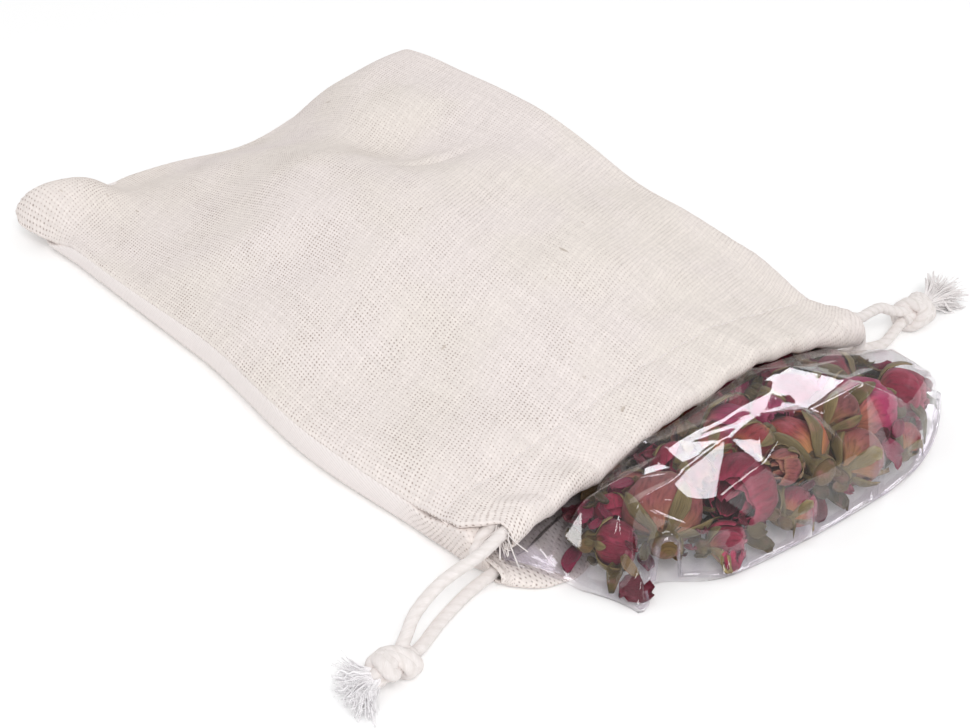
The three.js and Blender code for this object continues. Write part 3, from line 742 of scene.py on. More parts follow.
def woven_cotton():
    """Plain-woven natural cotton: pinholes between the threads, painted dark as painted shade seen through
    them, painted shade where the threads dip between their crowns, slubs, a few dark flecks, and a smooth
    slanted look where the tone marks cloth that turns under, painted paler there as painted light against its
    shade."""
    look = Look("woven_cotton")
    place = look.thread_place()
    half = (0.5, 0.5, 0.5)

    def strayed(start, scale, amount):
        wander = look.node("ShaderNodeTexNoise", {"Vector": place, "Scale": scale, "Detail": 1.0})
        shift = look.vector("SUBTRACT", wander.outputs["Color"], half)
        return look.vector("ADD", start, look.vector("SCALE", shift, scale=amount))

    def rounded(count):
        return look.math("SINE", look.math("MULTIPLY", look.math("FRACT", count), math.pi))

    def riding(along, own, first):
        steps = look.math("ADD", along, look.math("FLOOR", own))
        wave = look.math("SINE", look.math("MULTIPLY", look.math("ADD", steps, first), math.pi))
        return look.math("MULTIPLY_ADD", wave, 0.4, 0.6)

    moved = strayed(strayed(place, 0.06, 1.4), 0.6, 0.5)
    warp, weft, _ = look.node("ShaderNodeSeparateXYZ", {0: moved}).outputs
    warp_round, weft_round = rounded(warp), rounded(weft)
    warp_top = look.math("MULTIPLY", warp_round, riding(weft, warp, 0.0))
    weft_top = look.math("MULTIPLY", weft_round, riding(warp, weft, 1.0))
    top = look.math("SMOOTH_MAX", warp_top, weft_top, 0.15)
    filled = look.math("MAXIMUM", warp_round, weft_round)
    crossing = look.vector("FLOOR", look.vector("ADD", moved, half))
    hole_size = look.node("ShaderNodeTexWhiteNoise", {"Vector": crossing}).outputs["Value"]
    patches = look.math("MULTIPLY_ADD", look.noise(place, 0.07), 1.1, -0.33)
    closing = look.math("MULTIPLY_ADD", hole_size, 0.3, patches)
    open_cloth = look.ranged(filled, look.math("MULTIPLY", closing, 0.5), look.math("ADD", closing, 0.16))

    warp_slub = look.noise(look.stretched(place, 0.9, 0.04), 1.0)
    weft_slub = look.noise(look.stretched(place, 0.04, 0.9), 1.0)
    slub = look.math("ADD", warp_slub, weft_slub)
    grain = look.ranged(look.noise(place, 0.8, 3.0), 0.3, 0.7, 0.95, 1.05)
    streak = look.math("MULTIPLY", look.ranged(slub, 0.7, 1.3, 0.94, 1.04), grain)
    cloudy = look.ranged(look.noise(look.body_place(), 38.0, 3.0), 0.35, 0.65)
    ground = look.mixed(cloudy, shade(241, 232, 229), shade(239, 231, 224))
    streaked = look.vector("SCALE", ground, scale=streak)
    # Painted shade: the weave is darker where the threads dip between their crowns
    threads = look.mixed(look.ranged(top, 0.2, 0.8), shade(232, 222, 217), streaked)
    # Painted shade: the pinholes are painted dark, as the shade seen through them
    pinholes = look.mixed(open_cloth, shade(158, 140, 132), threads)
    across_bag, along_bag, _ = look.node("ShaderNodeSeparateXYZ", {0: look.body_place()}).outputs
    far_side = look.math("MULTIPLY_ADD", along_bag, -0.3, across_bag)
    pierced = look.mixed(look.ranged(far_side, -0.03, 0.035, 1.0, 0.55), streaked, pinholes)
    fleck = look.noise(look.stretched(place, 0.5, 0.16), 1.0, 1.0)
    speck = look.noise(look.stretched(place, 0.13, 0.42), 1.0, 1.0)
    marks = look.math("MAXIMUM", look.ranged(fleck, 0.77, 0.81), look.ranged(speck, 0.78, 0.82))
    flecked = look.mixed(look.math("MULTIPLY", marks, 0.4), pierced, shade(140, 118, 92))
    # Where the tone marks cloth that turns under, the weave is drawn smooth, with painted shade between its
    # warp threads, and painted paler overall: painted light against the shade there
    under = look.math("MULTIPLY", look.math("SUBTRACT", 1.0, look.tone_part(1)), 0.85)
    smooth = look.mixed(look.ranged(warp_round, 0.2, 0.9), shade(240, 232, 230), shade(250, 243, 241))
    bump = look.bump(look.math("MULTIPLY_ADD", slub, 0.25, top), 0.22, 0.00016)
    return look.surface(look.dull(look.mixed(under, flecked, smooth), 0.92, 0.03, bump))


def twisted_cotton():
    """Soft cotton cord: painted shade in the grooves between its plies, with fine fibres along each ply, and
    its frayed fibres painted paler.
    """
    look = Look("twisted_cotton")
    fibres = look.noise(look.stretched(look.thread_place(), 26.0, 0.7), 1.0, 3.0)
    fluff = look.noise(look.body_place(), 900.0, 3.0)
    ridge = look.ranged(look.tone_part(0), 1 - CORD_LOBE_DEPTH, 1.0)
    pale = look.mixed(look.ranged(fibres, 0.3, 0.7), shade(237, 230, 227), shade(246, 240, 238))
    worn = look.mixed(look.ranged(fluff, 0.3, 0.75), pale, shade(235, 228, 225))
    # Frayed fibres are painted lilac-white by the share that their tone leaves: partly their own paler look
    # and partly painted light against the shade among the fibres
    fray_painted_light = look.mixed(look.math("SUBTRACT", 1.0, look.tone_part(1)), worn, shade(255, 253, 255))
    # Painted shade: the colour darkens into the grooves between the plies
    groove_shaded = look.mixed(ridge, shade(206, 197, 188), fray_painted_light)
    bump = look.bump(look.math("ADD", fibres, look.math("MULTIPLY", fluff, 0.5)), 0.45, 0.00012)
    return look.surface(look.dull(groove_shaded, 0.88, 0.05, bump))


def clear_film():
    """Thin clear film: it lets the light through and mirrors the lamps, more at a slant, with hazy seals."""
    look = Look("clear_film")
    crease = look.noise(look.body_place(), 260.0, 3.0)
    bump = look.bump(crease, 0.06, 0.0004)
    haze = look.mixed(look.ranged(crease, 0.35, 0.75), (0.99, 0.985, 0.99, 1), (0.96, 0.95, 0.965, 1))
    through = look.node("ShaderNodeBsdfTransparent", {"Color": haze})
    gloss = look.node("ShaderNodeBsdfGlossy", {"Color": (1, 1, 1, 1), "Roughness": 0.03, "Normal": bump})
    slant = look.node("ShaderNodeLayerWeight", {"Blend": 0.5, "Normal": bump}).outputs["Facing"]
    mirror = look.math("MULTIPLY_ADD", look.math("POWER", slant, 5.0), 0.7, 0.05)
    film = look.joined(mirror, through, gloss)
    streaks = look.ranged(look.noise(look.body_place(), 160.0, 4.0), 0.35, 0.7, 0.05, 0.3)
    sealed = look.math("MULTIPLY", look.math("SUBTRACT", 1.0, look.tone_part(0)), streaks)
    frost = look.node("ShaderNodeBsdfDiffuse", {"Color": shade(226, 216, 230)})
    return look.surface(look.joined(sealed, film, frost))


def dried_petals():
    """Dried petals and sepals: their own tone, streaked along the veins and blotched."""
    look = Look("dried_petals")
    own = look.tone()
    veins = look.noise(look.stretched(look.thread_place(), 9.0, 1.1), 1.0, 3.0)
    blotch = look.noise(look.body_place(), 420.0, 3.0)
    darker = look.vector("SCALE", own, scale=0.45)
    lined = look.mixed(look.ranged(veins, 0.42, 0.72, 0.0, 0.8), own, darker)
    paler = look.mixed(0.35, lined, shade(214, 120, 140))
    mottled = look.mixed(look.ranged(blotch, 0.52, 0.75, 0.0, 0.6), lined, paler)
    bump = look.bump(look.math("ADD", veins, look.math("MULTIPLY", blotch, 0.6)), 0.6, 0.0003)
    return look.surface(look.dull(mottled, 0.62, 0.3, bump, 0.1))


COTTON = woven_cotton()
TWISTED = twisted_cotton()
FILM_LOOK = clear_film()
PETALS = dried_petals()


# Form of the bag


def mouth_crown(x):
    reach = np.where(x < MOUTH_CROWN_X, SIDE_X + MOUTH_CROWN_X, SIDE_X - MOUTH_CROWN_X)
    return quarter_sine(1 - np.abs(x - MOUTH_CROWN_X) / reach) ** MOUTH_CROWN_POWER


def mouth_height(x):
    return mix(MOUTH_END_HEIGHT, MOUTH_CROWN_HEIGHT, mouth_crown(x))


def slit_open(y):
    return ease((SLIT_Y + SLIT_FLARE - y) / SLIT_FLARE)


def mound(x, y, middle_x, middle_y, size_x, size_y):
    return np.exp(-(((x - middle_x) / size_x) ** 2) - ((y - middle_y) / size_y) ** 2)


def seam_height(x, y):
    """The seam dips in the closed end, runs low under the puffed corner and climbs along the near side."""
    near_end = ease((y - END_Y) / END_DIP_REACH + 1)
    dip = END_DIP * np.exp(-(((x - END_DIP_X) / END_DIP_WIDTH) ** 2)) * near_end
    dive = EAR_DIVE * np.exp(-(((x + SIDE_X) / EAR_DIVE_X) ** 4) - ((y - END_Y) / EAR_DIVE_Y) ** 4)
    along = ease(1 - np.abs(y - SEAM_CLIMB_Y) / SEAM_CLIMB_REACH)
    climb = SEAM_CLIMB * along * (1 - ease((x + SIDE_X) / SEAM_CLIMB_WIDTH))
    return SEAM_HEIGHT - dip - dive + climb


def bowed(x, y):
    along = clamp01(1 - np.abs(y - SIDE_BOW_Y) / SIDE_BOW_REACH)
    return x - (SIDE_BOW + SIDE_BOW_MORE) * clamp01(-x / SIDE_X) ** 2 * ease(along)


def drawn_in(x, y):
    near = ease((NEAR_DRAW_Y - y) / NEAR_DRAW_REACH)
    far = ease((FAR_DRAW_Y - y) / FAR_DRAW_REACH)
    return x * (1 - MOUTH_DRAW / SIDE_X * np.where(x < 0, near, far))


def body_rise(x, y):
    from_left = quarter_sine((SIDE_X + x) / NEAR_SLOPE)
    from_right = quarter_sine((SIDE_X - x) / FAR_SLOPE)
    end_slope = mix(NEAR_END_SLOPE, FAR_END_SLOPE, ease((SIDE_X + x) / BAG_WIDTH))
    from_end = quarter_sine((END_Y - y) / end_slope) ** END_SLOPE_POWER
    from_valley = (x - VALLEY_END_X - VALLEY_LEAN * (END_Y - y)) / VALLEY_WIDTH
    valley = VALLEY_DEPTH * np.exp(-(from_valley**2)) * ease(y / VALLEY_FADE)
    dent = DENT_DEPTH * mound(x, y, DENT_X, DENT_Y, DENT_RADIUS, DENT_RADIUS)
    return (BODY_RISE - valley - dent) * from_left * from_right * from_end


def slit_rise(y):
    """How far the edges of the slit climb from the seam towards the mouth."""
    return ease((SLIT_Y + SLIT_FLARE - y) / (SLIT_FLARE + CASING_DEPTH))


def front_height(x, y):
    """Middle of the front panel's cloth, close to the part's."""
    early = ease((LIP_Y + MOUTH_BLEND - y) / MOUTH_BLEND)
    at_mouth = mix(early, slit_rise(y), np.abs(x / SIDE_X) ** EDGE_POWER)
    body = seam_height(x, y) + CLOTH / 2 + body_rise(x, y)
    return mix(body, mouth_height(drawn_in(bowed(x, y), y)), at_mouth)


def edge_kept(y):
    """1 where the panels' edges lie together, 0 where the casings part."""
    return 1 - ease((SLIT_Y - SLIT_STAYS - y) / SLIT_ENDS)


def to_edge(x, y):
    """How far a place on the bag is from its nearest seamed edge."""
    return np.minimum(SIDE_X - np.abs(x), END_Y - y)


def front_folds(x, y):
    """What the cloth does on top of that form: puffed corners, lumps, gathers, creases and puckers."""
    edge = to_edge(x, y)
    pillow = np.sqrt(1 - (1 - clamp01(edge / EAR_ROUND)) ** 2)
    ear = EAR_RISE * mound(x, y, EAR_X, EAR_Y, EAR_WIDTH, EAR_DEPTH)
    shoulder = SHOULDER_RISE * mound(x, y, SHOULDER_X, SHOULDER_Y, SHOULDER_WIDTH, SHOULDER_DEPTH)
    casing_end = CASING_END_LIFT * mound(x, y, SIDE_X, MOUTH_Y, CASING_END_REACH, CASING_END_REACH)
    corner = FAR_CORNER_DROP * mound(x, y, SIDE_X, END_Y, FAR_CORNER_REACH, FAR_CORNER_REACH)
    notch = NOTCH_DEPTH * mound(x, y, NOTCH_X, NOTCH_Y, NOTCH_WIDTH, NOTCH_LENGTH)
    stitched = STITCH_DENT * np.exp(-(((y - STITCH_Y) / STITCH_DENT_WIDTH) ** 2))
    folds = (ear + shoulder) * pillow + casing_end - corner * ease(edge / FAR_CORNER_EDGE) - notch - stitched
    for height, size, seed in LUMPS:
        folds = folds + height * waves(x, y, size, seed) * ease(edge / LUMP_EDGE)
    gather_x = x + GATHER_SWAY * (y - MOUTH_Y) * np.sin(x / GATHER_SWAY_WIDTH)
    for height, size, seed, reach in GATHERS:
        folds = folds + height * waves(gather_x, 0 * y, size, seed) * np.exp(-(y - MOUTH_Y) / reach)
    leaning_y = y + CREASE_LEAN * (x - CREASE_X)
    for height, crease_y, width in CREASES:
        folds = folds + height * mound(x, leaning_y, CREASE_X, crease_y, CREASE_LENGTH, width)
    swing = 2 * np.pi * y / PUCKER_PITCH + 2 * waves(y, 0 * x, PUCKER_STRAY, 3)
    return folds + PUCKER * np.sin(swing) * np.exp(-edge / PUCKER_REACH)


def edge_puff(x, y):
    """The seamed edge stands a little proud, so that its roll can turn under."""
    return EDGE_PUFF * edge_kept(y) * (1 - ease(to_edge(x, y) / EDGE_PUFF_REACH))


def front_top(x, y):
    return front_height(x, y) + front_folds(x, y) + edge_puff(x, y)


def front_row(across, y):
    """A row of the front panel's points at one y. Across is the place before the casing draws it in."""
    y = np.full(len(across), float(y))
    return np.stack([drawn_in(bowed(across, y), y), y, front_top(across, y)], 1)


def with_corners(grid):
    """Rounds the corners of the closed end and pushes the near one out, more so above its seam."""
    for side, size in ((-1, NEAR_CORNER_ROUND), (1, FAR_CORNER_ROUND)):
        u = 1 - (SIDE_X - side * grid[:, :, 0]) / size
        v = 1 - (END_Y - grid[:, :, 1]) / size
        inside = (u > 0) & (v > 0)
        round_u = u * np.sqrt(np.maximum(1 - v**2 / 2, 0))
        round_v = v * np.sqrt(np.maximum(1 - u**2 / 2, 0))
        grid[:, :, 0] = np.where(inside, side * (SIDE_X - size * (1 - round_u)), grid[:, :, 0])
        grid[:, :, 1] = np.where(inside, END_Y - size * (1 - round_v), grid[:, :, 1])
    puffed = mound(grid[:, :, 0], grid[:, :, 1], -SIDE_X, END_Y, EAR_REACH, EAR_REACH)
    puffed = puffed * mix(EAR_TUCK, 1, ease((grid[:, :, 2] - EAR_PUSH_Z) / EAR_PUSH_BLEND))
    grid[:, :, 0] += EAR_PUSH_X * puffed
    grid[:, :, 1] += EAR_PUSH_Y * puffed
    return grid


def roll_profile(start_turn, total_turn):
    """Stations of a seamed edge that rolls under and runs in as the seam allowance: outward and up."""
    turns = np.linspace(start_turn, total_turn, 9)[1:]
    outward = SEAM_ROLL * (np.sin(turns) - math.sin(start_turn))
    upward = SEAM_ROLL * (np.cos(turns) - math.cos(start_turn))
    runs = np.linspace(0, SEAM_ALLOWANCE, 5)[1:]
    outward = np.concatenate([[0], outward, outward[-1] + math.cos(total_turn) * runs])
    upward = np.concatenate([[0], upward, upward[-1] - math.sin(total_turn) * runs])
    return outward, upward


def thread_places(grid, turn=0.0):
    """Warp and weft counts over a grid, even along each thread, turned by an angle and skewed."""
    def gone(axis):
        step = np.linalg.norm(np.diff(grid, axis=axis), axis=2).mean(axis=1 - axis)
        return np.concatenate([[0], np.cumsum(step)])
    across, along = np.meshgrid(gone(0), gone(1), indexing="ij")
    warp = across * math.cos(turn) - along * math.sin(turn)
    weft = across * math.sin(turn) + along * math.cos(turn) + WEFT_SKEW * warp
    return np.stack([warp / THREAD_PITCH, weft / WEFT_PITCH], 2)


def casing_rows(outer, inside, radius=FOLD_RADIUS):
    """Rows of the turned-in mouth: round the fold, along the tunnel and to the stitch line.
    outer(y) gives the outer layer's row there; inside is 1 where the tunnel is below it and -1 above."""
    rows = []
    for turn in np.linspace(0, np.pi, 13)[1:]:
        row = outer(FOLD_Y)
        row[:, 1] -= radius * math.sin(turn)
        row[:, 2] -= inside * radius * (1 - math.cos(turn))
        rows.append(row)
    for y in np.linspace(FOLD_Y, LIP_Y, 14)[1:]:
        closing = ease((y - TUNNEL_END_Y) / (STITCH_Y - TUNNEL_END_Y))
        row = outer(y)
        row[:, 2] -= inside * mix(2 * radius, CLOTH + CLEARANCE, closing)
        rows.append(row)
    return np.stack(rows, 1)


def panel_rows(first, step):
    """Rows of a panel from its closed end to the fold at its mouth, closer together in the casing."""
    return np.concatenate([
        np.linspace(first, LIP_Y, int((END_Y - LIP_Y) / step)),
        np.linspace(LIP_Y, FOLD_Y, int((LIP_Y - FOLD_Y) / CASING_STEP))[1:],
    ])


def panel_stations(xs, ys, turned):
    """Stations across and along a panel: 0 and a place on it, or a side and a step on its turned edge."""
    steps = range(1, turned + 1)
    columns = [(-1, k) for k in reversed(steps)] + [(0, x) for x in xs] + [(1, k) for k in steps]
    lines = [(1, k) for k in reversed(steps)] + [(0, y) for y in ys]
    return columns, lines


def front_cloth():
    """The front panel: filled form, rolled seams with their allowances, and the casing."""
    edge_x = SIDE_X - EDGE_INSET
    end_y = END_Y - EDGE_INSET
    near, far, end = (roll_profile(math.radians(slope), math.pi) for slope in ROLL_SLOPES)
    xs = np.linspace(-edge_x, edge_x, int(BAG_WIDTH / BAG_STEP))
    columns, lines = panel_stations(xs, panel_rows(end_y, BAG_STEP), len(near[0]) - 1)
    across = np.array([side * edge_x if side else x for side, x in columns])
    rolled = np.zeros((len(columns), 3))
    for i, (side, k) in enumerate(columns):
        if side:
            outward, upward = near if side < 0 else far
            rolled[i] = side * outward[k], 0, upward[k]
    in_roll = np.array([CORNER_ROLL if side else 1 for side, _ in columns])
    rows = []
    for at_end, line in lines:
        y = end_y if at_end else line
        row = front_row(across, y) + rolled * max(OPEN_ROLL, float(edge_kept(y)))
        if at_end:
            row[:, 1] += end[0][line]
            row[:, 2] += end[1][line] * in_roll
        rows.append(row)
    swell = np.where(across < 0, NEAR_CASING_SWELL, FAR_CASING_SWELL)
    swell = 1 + swell * np.exp(-(((SIDE_X - np.abs(across)) / CASING_END_REACH) ** 2))
    casing = casing_rows(lambda y: front_row(across, y) + rolled * OPEN_ROLL, 1, FOLD_RADIUS * swell)
    return with_corners(np.concatenate([np.stack(rows, 1), casing], axis=1))


def wall_profile():
    """Stations of the back panel's turned-up edge, outward and up: curl, bend and seam allowance."""
    wall_top = SEAM_HEIGHT - SEAM_LAP - SEAM_ROLL
    curl = EDGE_CURL - WALL_INSET
    turns = np.linspace(0, np.pi / 2, 11)
    bend = np.linspace(0, np.pi / 2, 6)[1:]
    runs = np.linspace(0, SEAM_ALLOWANCE, 5)[1:]
    outward = [curl * np.sin(turns), curl - SEAM_ROLL * (1 - np.cos(bend)), curl - SEAM_ROLL - runs]
    level = wall_top + SEAM_ROLL + 0 * runs
    upward = [wall_top * (1 - np.cos(turns)), wall_top + SEAM_ROLL * np.sin(bend), level]
    return np.concatenate(outward), np.concatenate(upward)


def swung_hem(grid):
    """Bows the back panel in with the front one, and swings its hem forward and flat under the near slit."""
    x, y, z = (grid[:, :, k].copy() for k in range(3))
    near = x * (1 - BACK_DRAW / SIDE_X * ease((NEAR_DRAW_Y - y) / NEAR_DRAW_REACH))
    grid[:, :, 0] = bowed(np.where(x < 0, near, drawn_in(x, y)), y)
    swing = ease((x + SIDE_X + HEM_START) / HEM_RISE) * (1 - ease((x - HEM_FALL_X) / HEM_FALL))
    hem = swing * ease((HEM_Y - y) / (HEM_Y - MOUTH_Y))
    grid[:, :, 1] -= HEM_FORWARD * hem * (1 + HEM_WAVE * waves(x, 0 * y, HEM_WAVE_SIZE, 21))
    grid[:, :, 2] = mix(z, CLOTH / 2 + (z - CLOTH / 2) * HEM_FLAT, hem)
    return grid


def back_cloth():
    """The back panel: flat on the table, turned up to the seams at the sides and end, with its own casing."""
    outward, upward = wall_profile()
    stops = len(outward) - 1
    steps = np.arange(stops + 1)
    slit_outward = np.linspace(0, EDGE_CURL - SLIT_NARROWS, stops + 1)
    flat_x = SIDE_X - EDGE_CURL
    flat_end = END_Y - EDGE_CURL
    xs = np.linspace(-flat_x, flat_x, int(2 * flat_x / BACK_STEP))
    columns, lines = panel_stations(xs, panel_rows(flat_end, BACK_STEP), stops)
    grid = np.zeros((len(columns), len(lines), 3))
    for j, (at_end, line) in enumerate(lines):
        y = flat_end if at_end else line
        over_end = line if at_end else 0
        kept = max(OPEN_WALL, float(edge_kept(y)))
        climb = float(slit_rise(y)) * (MOUTH_END_HEIGHT - SEAM_HEIGHT) - SLIT_GAP * float(slit_open(y))
        for i, (side, k) in enumerate(columns):
            x = side * flat_x if side else k
            over_side = k if side else 0
            over = min(stops, (over_side**4 + over_end**4) ** 0.25)
            lean = unit((side * over_side, over_end))
            square = np.abs(lean).max() or 1
            out = np.interp(over, steps, outward)
            if not at_end:
                out = mix(np.interp(over, steps, slit_outward), out, kept)
            seam = seam_height(x, END_Y if at_end else y)
            taller = (seam + climb - SEAM_LAP) / (SEAM_HEIGHT - SEAM_LAP)
            height = CLOTH / 2 + np.interp(over, steps, upward) * kept * taller
            grid[i, j] = (x + lean[0] / square * out, y + lean[1] / square * out, height)
    last = grid[:, -1]
    casing = casing_rows(lambda y: np.stack([last[:, 0], np.full(len(last), y), last[:, 2]], 1), -1)
    return swung_hem(with_corners(np.concatenate([grid, casing], axis=1)))


def wall_tones(grid):
    """Marks the turned-up sides of the back panel, up to where the slit begins, where the cloth is drawn
    smooth and painted paler: painted light against the shade there.
    """
    tones = np.ones((*grid.shape[:2], 4))
    raised = ease((grid[:, :, 2] - WALL_TONE_Z) / WALL_TONE_RISE)
    tones[:, :, 1] = 1 - raised * ease((grid[:, :, 1] - SLIT_Y + WALL_TONE_SLIT) / WALL_TONE_FADE)
    return tones


def cloth_piece(name, grid, node, turn=0.0, tones=None):
    shape = Shape()
    closed_sheet(shape, grid, CLOTH, thread_places(grid, turn), tones)
    piece = shape.piece(name, COTTON, "cotton_cloth")
    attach(piece, "bag")
    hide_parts(node)
    return piece


front_grid = front_cloth()
back_grid = back_cloth()
front_piece = cloth_piece("front_cloth", front_grid, "front_panel")
back_piece = cloth_piece("back_cloth", back_grid, "back_panel", BACK_TURN, wall_tones(back_grid))


# Drawcords

UPPER_EXIT = MOUTH_END_HEIGHT - FOLD_RADIUS
LOWER_EXIT = CLOTH / 2 + FOLD_RADIUS
# The fray's painted light is the share of the cord's own tone that the frayed fibres keep; the rest is
# painted lilac-white, partly their own paler look and partly painted light against the shade among them
TAILS = {
    "left": {
        "side": -1,
        "y": LEFT_CORD_Y,
        "upper": [(0.8, -0.9, 8.3), (9.1, -1.2, 7.5), (15.6, -2.6, 6.1), (19.5, -4.7, 4.8)],
        "lower": [(-1, -0.5, 1.9), (4.5, -1.4, 1.9), (11.6, -3.5, 1.9), (18.2, -6.2, 2.2)],
        "knot": (24, -7.2, 3.2),
        "knot_aim": (1, -0.15, 0),
        "tassel_aim": (1, 0.22, 0),
        "tassel": (6.6, 60),
        "lay_depth": 0.045,
        "crimp": 1.0,
        "fray_painted_light": 0.1,
    },
    "right": {
        "side": 1,
        "y": RIGHT_CORD_Y,
        "upper": [(-0.6, -0.9, 9.6), (3.9, -0.5, 8.9), (8.4, 0.2, 7.6), (11.8, -0.6, 5.8)],
        "lower": [(0, -1.2, 1.9), (5.2, -3.2, 1.9), (8.6, -2.8, 2.1), (12.4, -1.9, 2.6)],
        "knot": (17.8, -1.4, 3.3),
        "knot_aim": (1, 0.03, 0),
        "tassel_aim": (1, 0.1, 0),
        "tassel": (10, 27),
        "lay_depth": 0.06,
        "crimp": 0.45,
        "fray_painted_light": 0.6,
    },
}


def tail_point(tail, place):
    return np.array([tail["side"] * (SIDE_X + place[0]), tail["y"] + place[1], place[2]])


def tail_turn(tail, aim):
    """Directions along, across and up for a knot or tassel that points outward."""
    along = unit((tail["side"] * aim[0], aim[1], aim[2]))
    across = unit(np.cross((0, 0, 1), along))
    return np.stack([along, across, np.cross(along, across)], 1)


def cord_route(tail):
    """The whole drawcord: from its knot through the front casing, round the far slit and back to the knot."""
    side, y = tail["side"], tail["y"]
    knot = tail_point(tail, tail["knot"])

    def into(place):
        return mix(tail_point(tail, place), knot, KNOT_REACH)

    upper = [into(tail["upper"][-1])] + [tail_point(tail, p) for p in reversed(tail["upper"])]
    there = front_row(side * np.linspace(SIDE_X, -SIDE_X, 32), FOLD_Y)
    there[:, 1] = y
    there[:, 2] -= FOLD_RADIUS
    radius = (UPPER_EXIT - LOWER_EXIT) / 2
    bend = []
    for turn in np.linspace(np.pi / 2, -np.pi / 2, 9):
        out = SIDE_X - BEND_TUCK - radius * (1 - math.cos(turn))
        bend.append(np.array([-side * out, y, LOWER_EXIT + radius + radius * math.sin(turn)]))
    inner_x = SIDE_X - MOUTH_DRAW
    back = [np.array([x, y, LOWER_EXIT]) for x in side * np.linspace(-inner_x, inner_x, 12)]
    lower = [tail_point(tail, p) for p in tail["lower"]] + [into(tail["lower"][-1])]
    return even_path([*upper, *there, *bend, *back, *lower], CORD_STEP)


def overhand():
    """The line of a tight overhand knot: in through its middle, one and a half times round it, and out."""
    turn = np.linspace(0, 3 * np.pi, 40)
    along, across, upright = KNOT_WRAP
    wrap = np.stack([
        along * np.cos(turn * 2 / 3),
        across * np.cos(turn + KNOT_START),
        upright * np.sin(turn + KNOT_START),
    ], 1)
    half = KNOT_LENGTH / 2
    core = [(-half, 0, 0), (-half / 2, 0, 0), (0, 0, 0), wrap[0] * KNOT_IN]
    out = [wrap[-1] * KNOT_OUT, (half, 0, 0)]
    return even_path([*core, *wrap, *out], KNOT_STEP)


def placing(turn, middle):
    """A matrix that turns a shape and then puts it at a place."""
    matrix = np.eye(4)
    matrix[:3, :3] = turn
    matrix[:3, 3] = middle
    return matrix


def knot_shape(tail):
    """Both ends of the cord tied together in one overhand knot, side by side through its turns."""
    shape = Shape()
    middle = overhand()
    outward = unit(middle * (0, 1, 1) + (0, 0, 0.2))
    side = unit(np.cross(np.gradient(middle, axis=0), outward))
    for sign in (-1, 1):
        beside = middle + sign * KNOT_APART * side
        tube(shape, beside, KNOT_STRAND / 2, 16, CORD_LOBES, tail["lay_depth"], CORD_TWIST * KNOT_TWIST)
    shape.turned(placing(tail_turn(tail, tail["knot_aim"]), tail_point(tail, tail["knot"])))
    shape.rested()
    return shape


def tassel_fluff(tail, seed):
    """Points of the soft mat of finest fibres in the fan, before it is turned, and how far out each is."""
    length, fan = tail["tassel"]
    spread = np.linspace(-0.95, 0.95, 40) * math.radians(fan)
    turn, t = np.meshgrid(spread, np.linspace(0.1, 1, 16), indexing="ij")
    reach = length * t * (FLUFF_REACH + 0.06 * waves(turn * length, 0 * t, 3, seed))
    heading = turn * mix(0.5, 1, t)
    x, y = reach * np.cos(heading), reach * np.sin(heading)
    return np.stack([x, y, FLUFF_HEIGHT * (1 - t**2) + 0.2 * waves(x, y, 1.6, seed + 1)], 2), t


def tassel_strand(tail, rng, root):
    """One crimped yarn or fibre of the fan, before it is turned."""
    tassel_length, fan = tail["tassel"]
    t = np.linspace(0, 1, 14)
    turn = math.radians(fan) * rng.uniform(-1, 1)
    lift = math.radians(rng.uniform(-22, 24))
    start = np.array([root * rng.uniform(0, 0.7), 1.1 * math.sin(turn), rng.uniform(-0.7, 0.6)])
    length = tassel_length * rng.uniform(0.68, 1.05)
    heading = turn * mix(0.5, 1, t)
    flat = length * t * math.cos(lift)
    rise = length * t * math.sin(lift)
    line = start + np.stack([flat * np.cos(heading), flat * np.sin(heading), rise], 1)
    wave = rng.uniform(0.12, 0.4) * tail["crimp"]
    phase, turns = rng.uniform(0, 2 * np.pi, 2), rng.uniform(1.6, 3.8)
    line[:, 1] += wave * t * np.sin(2 * np.pi * turns * t + phase[0])
    line[:, 2] += wave * t * np.sin(2 * np.pi * turns * t + phase[1]) - 0.9 * t**2
    return line


def tassel_shape(tail, seed):
    """The frayed ends: two bound stubs, a soft mat, then yarns and finer fibres that fan out and crimp."""
    rng = np.random.default_rng(seed)
    shape = Shape()
    root = tail["tassel"][0] * TASSEL_ROOT
    turned = tail_turn(tail, tail["tassel_aim"])
    knot_end = tail_turn(tail, tail["knot_aim"])[:, 0] * (KNOT_LENGTH / 2 - TASSEL_TUCK)
    place = tail_point(tail, tail["knot"]) + knot_end
    for sign in (-1, 1):
        stub_points = [(-STUB_START, sign * 0.6, 0), (0, sign * 0.65, -0.2), (root, sign * 0.9, -0.5)]
        stub = even_path(stub_points, CORD_STEP_IN_STUB) @ turned.T + place
        tube(shape, stub, np.linspace(*STUB_RADII, len(stub)), 12, CORD_LOBES, STUB_LAY, CORD_TWIST)
    fluff, t = tassel_fluff(tail, seed)
    fluff = fluff @ turned.T + place
    fluff[:, :, 2] = np.maximum(fluff[:, :, 2] * (1 - 0.9 * ease((t - 0.6) / 0.4)), FLUFF / 2 + ON_TABLE)
    soft = np.ones((*t.shape, 4))
    # The fluff and strands carry the tone that sets how much painted light they get
    soft[:, :, 1] = tail["fray_painted_light"]
    closed_sheet(shape, fluff, FLUFF, fluff[:, :, :2] * 0.3, soft)
    for strand in range(TASSEL_YARNS + TASSEL_FIBRES):
        thick = YARN if strand < TASSEL_YARNS else FIBRE
        line = tassel_strand(tail, rng, root) @ turned.T + place
        radius = np.linspace(thick, thick * YARN_END, len(line)) / 2 * rng.uniform(0.8, 1.3)
        line[:, 2] = np.maximum(line[:, 2], radius + ON_TABLE)
        tube(shape, line, radius, 6, tones=tail["fray_painted_light"])
    return shape


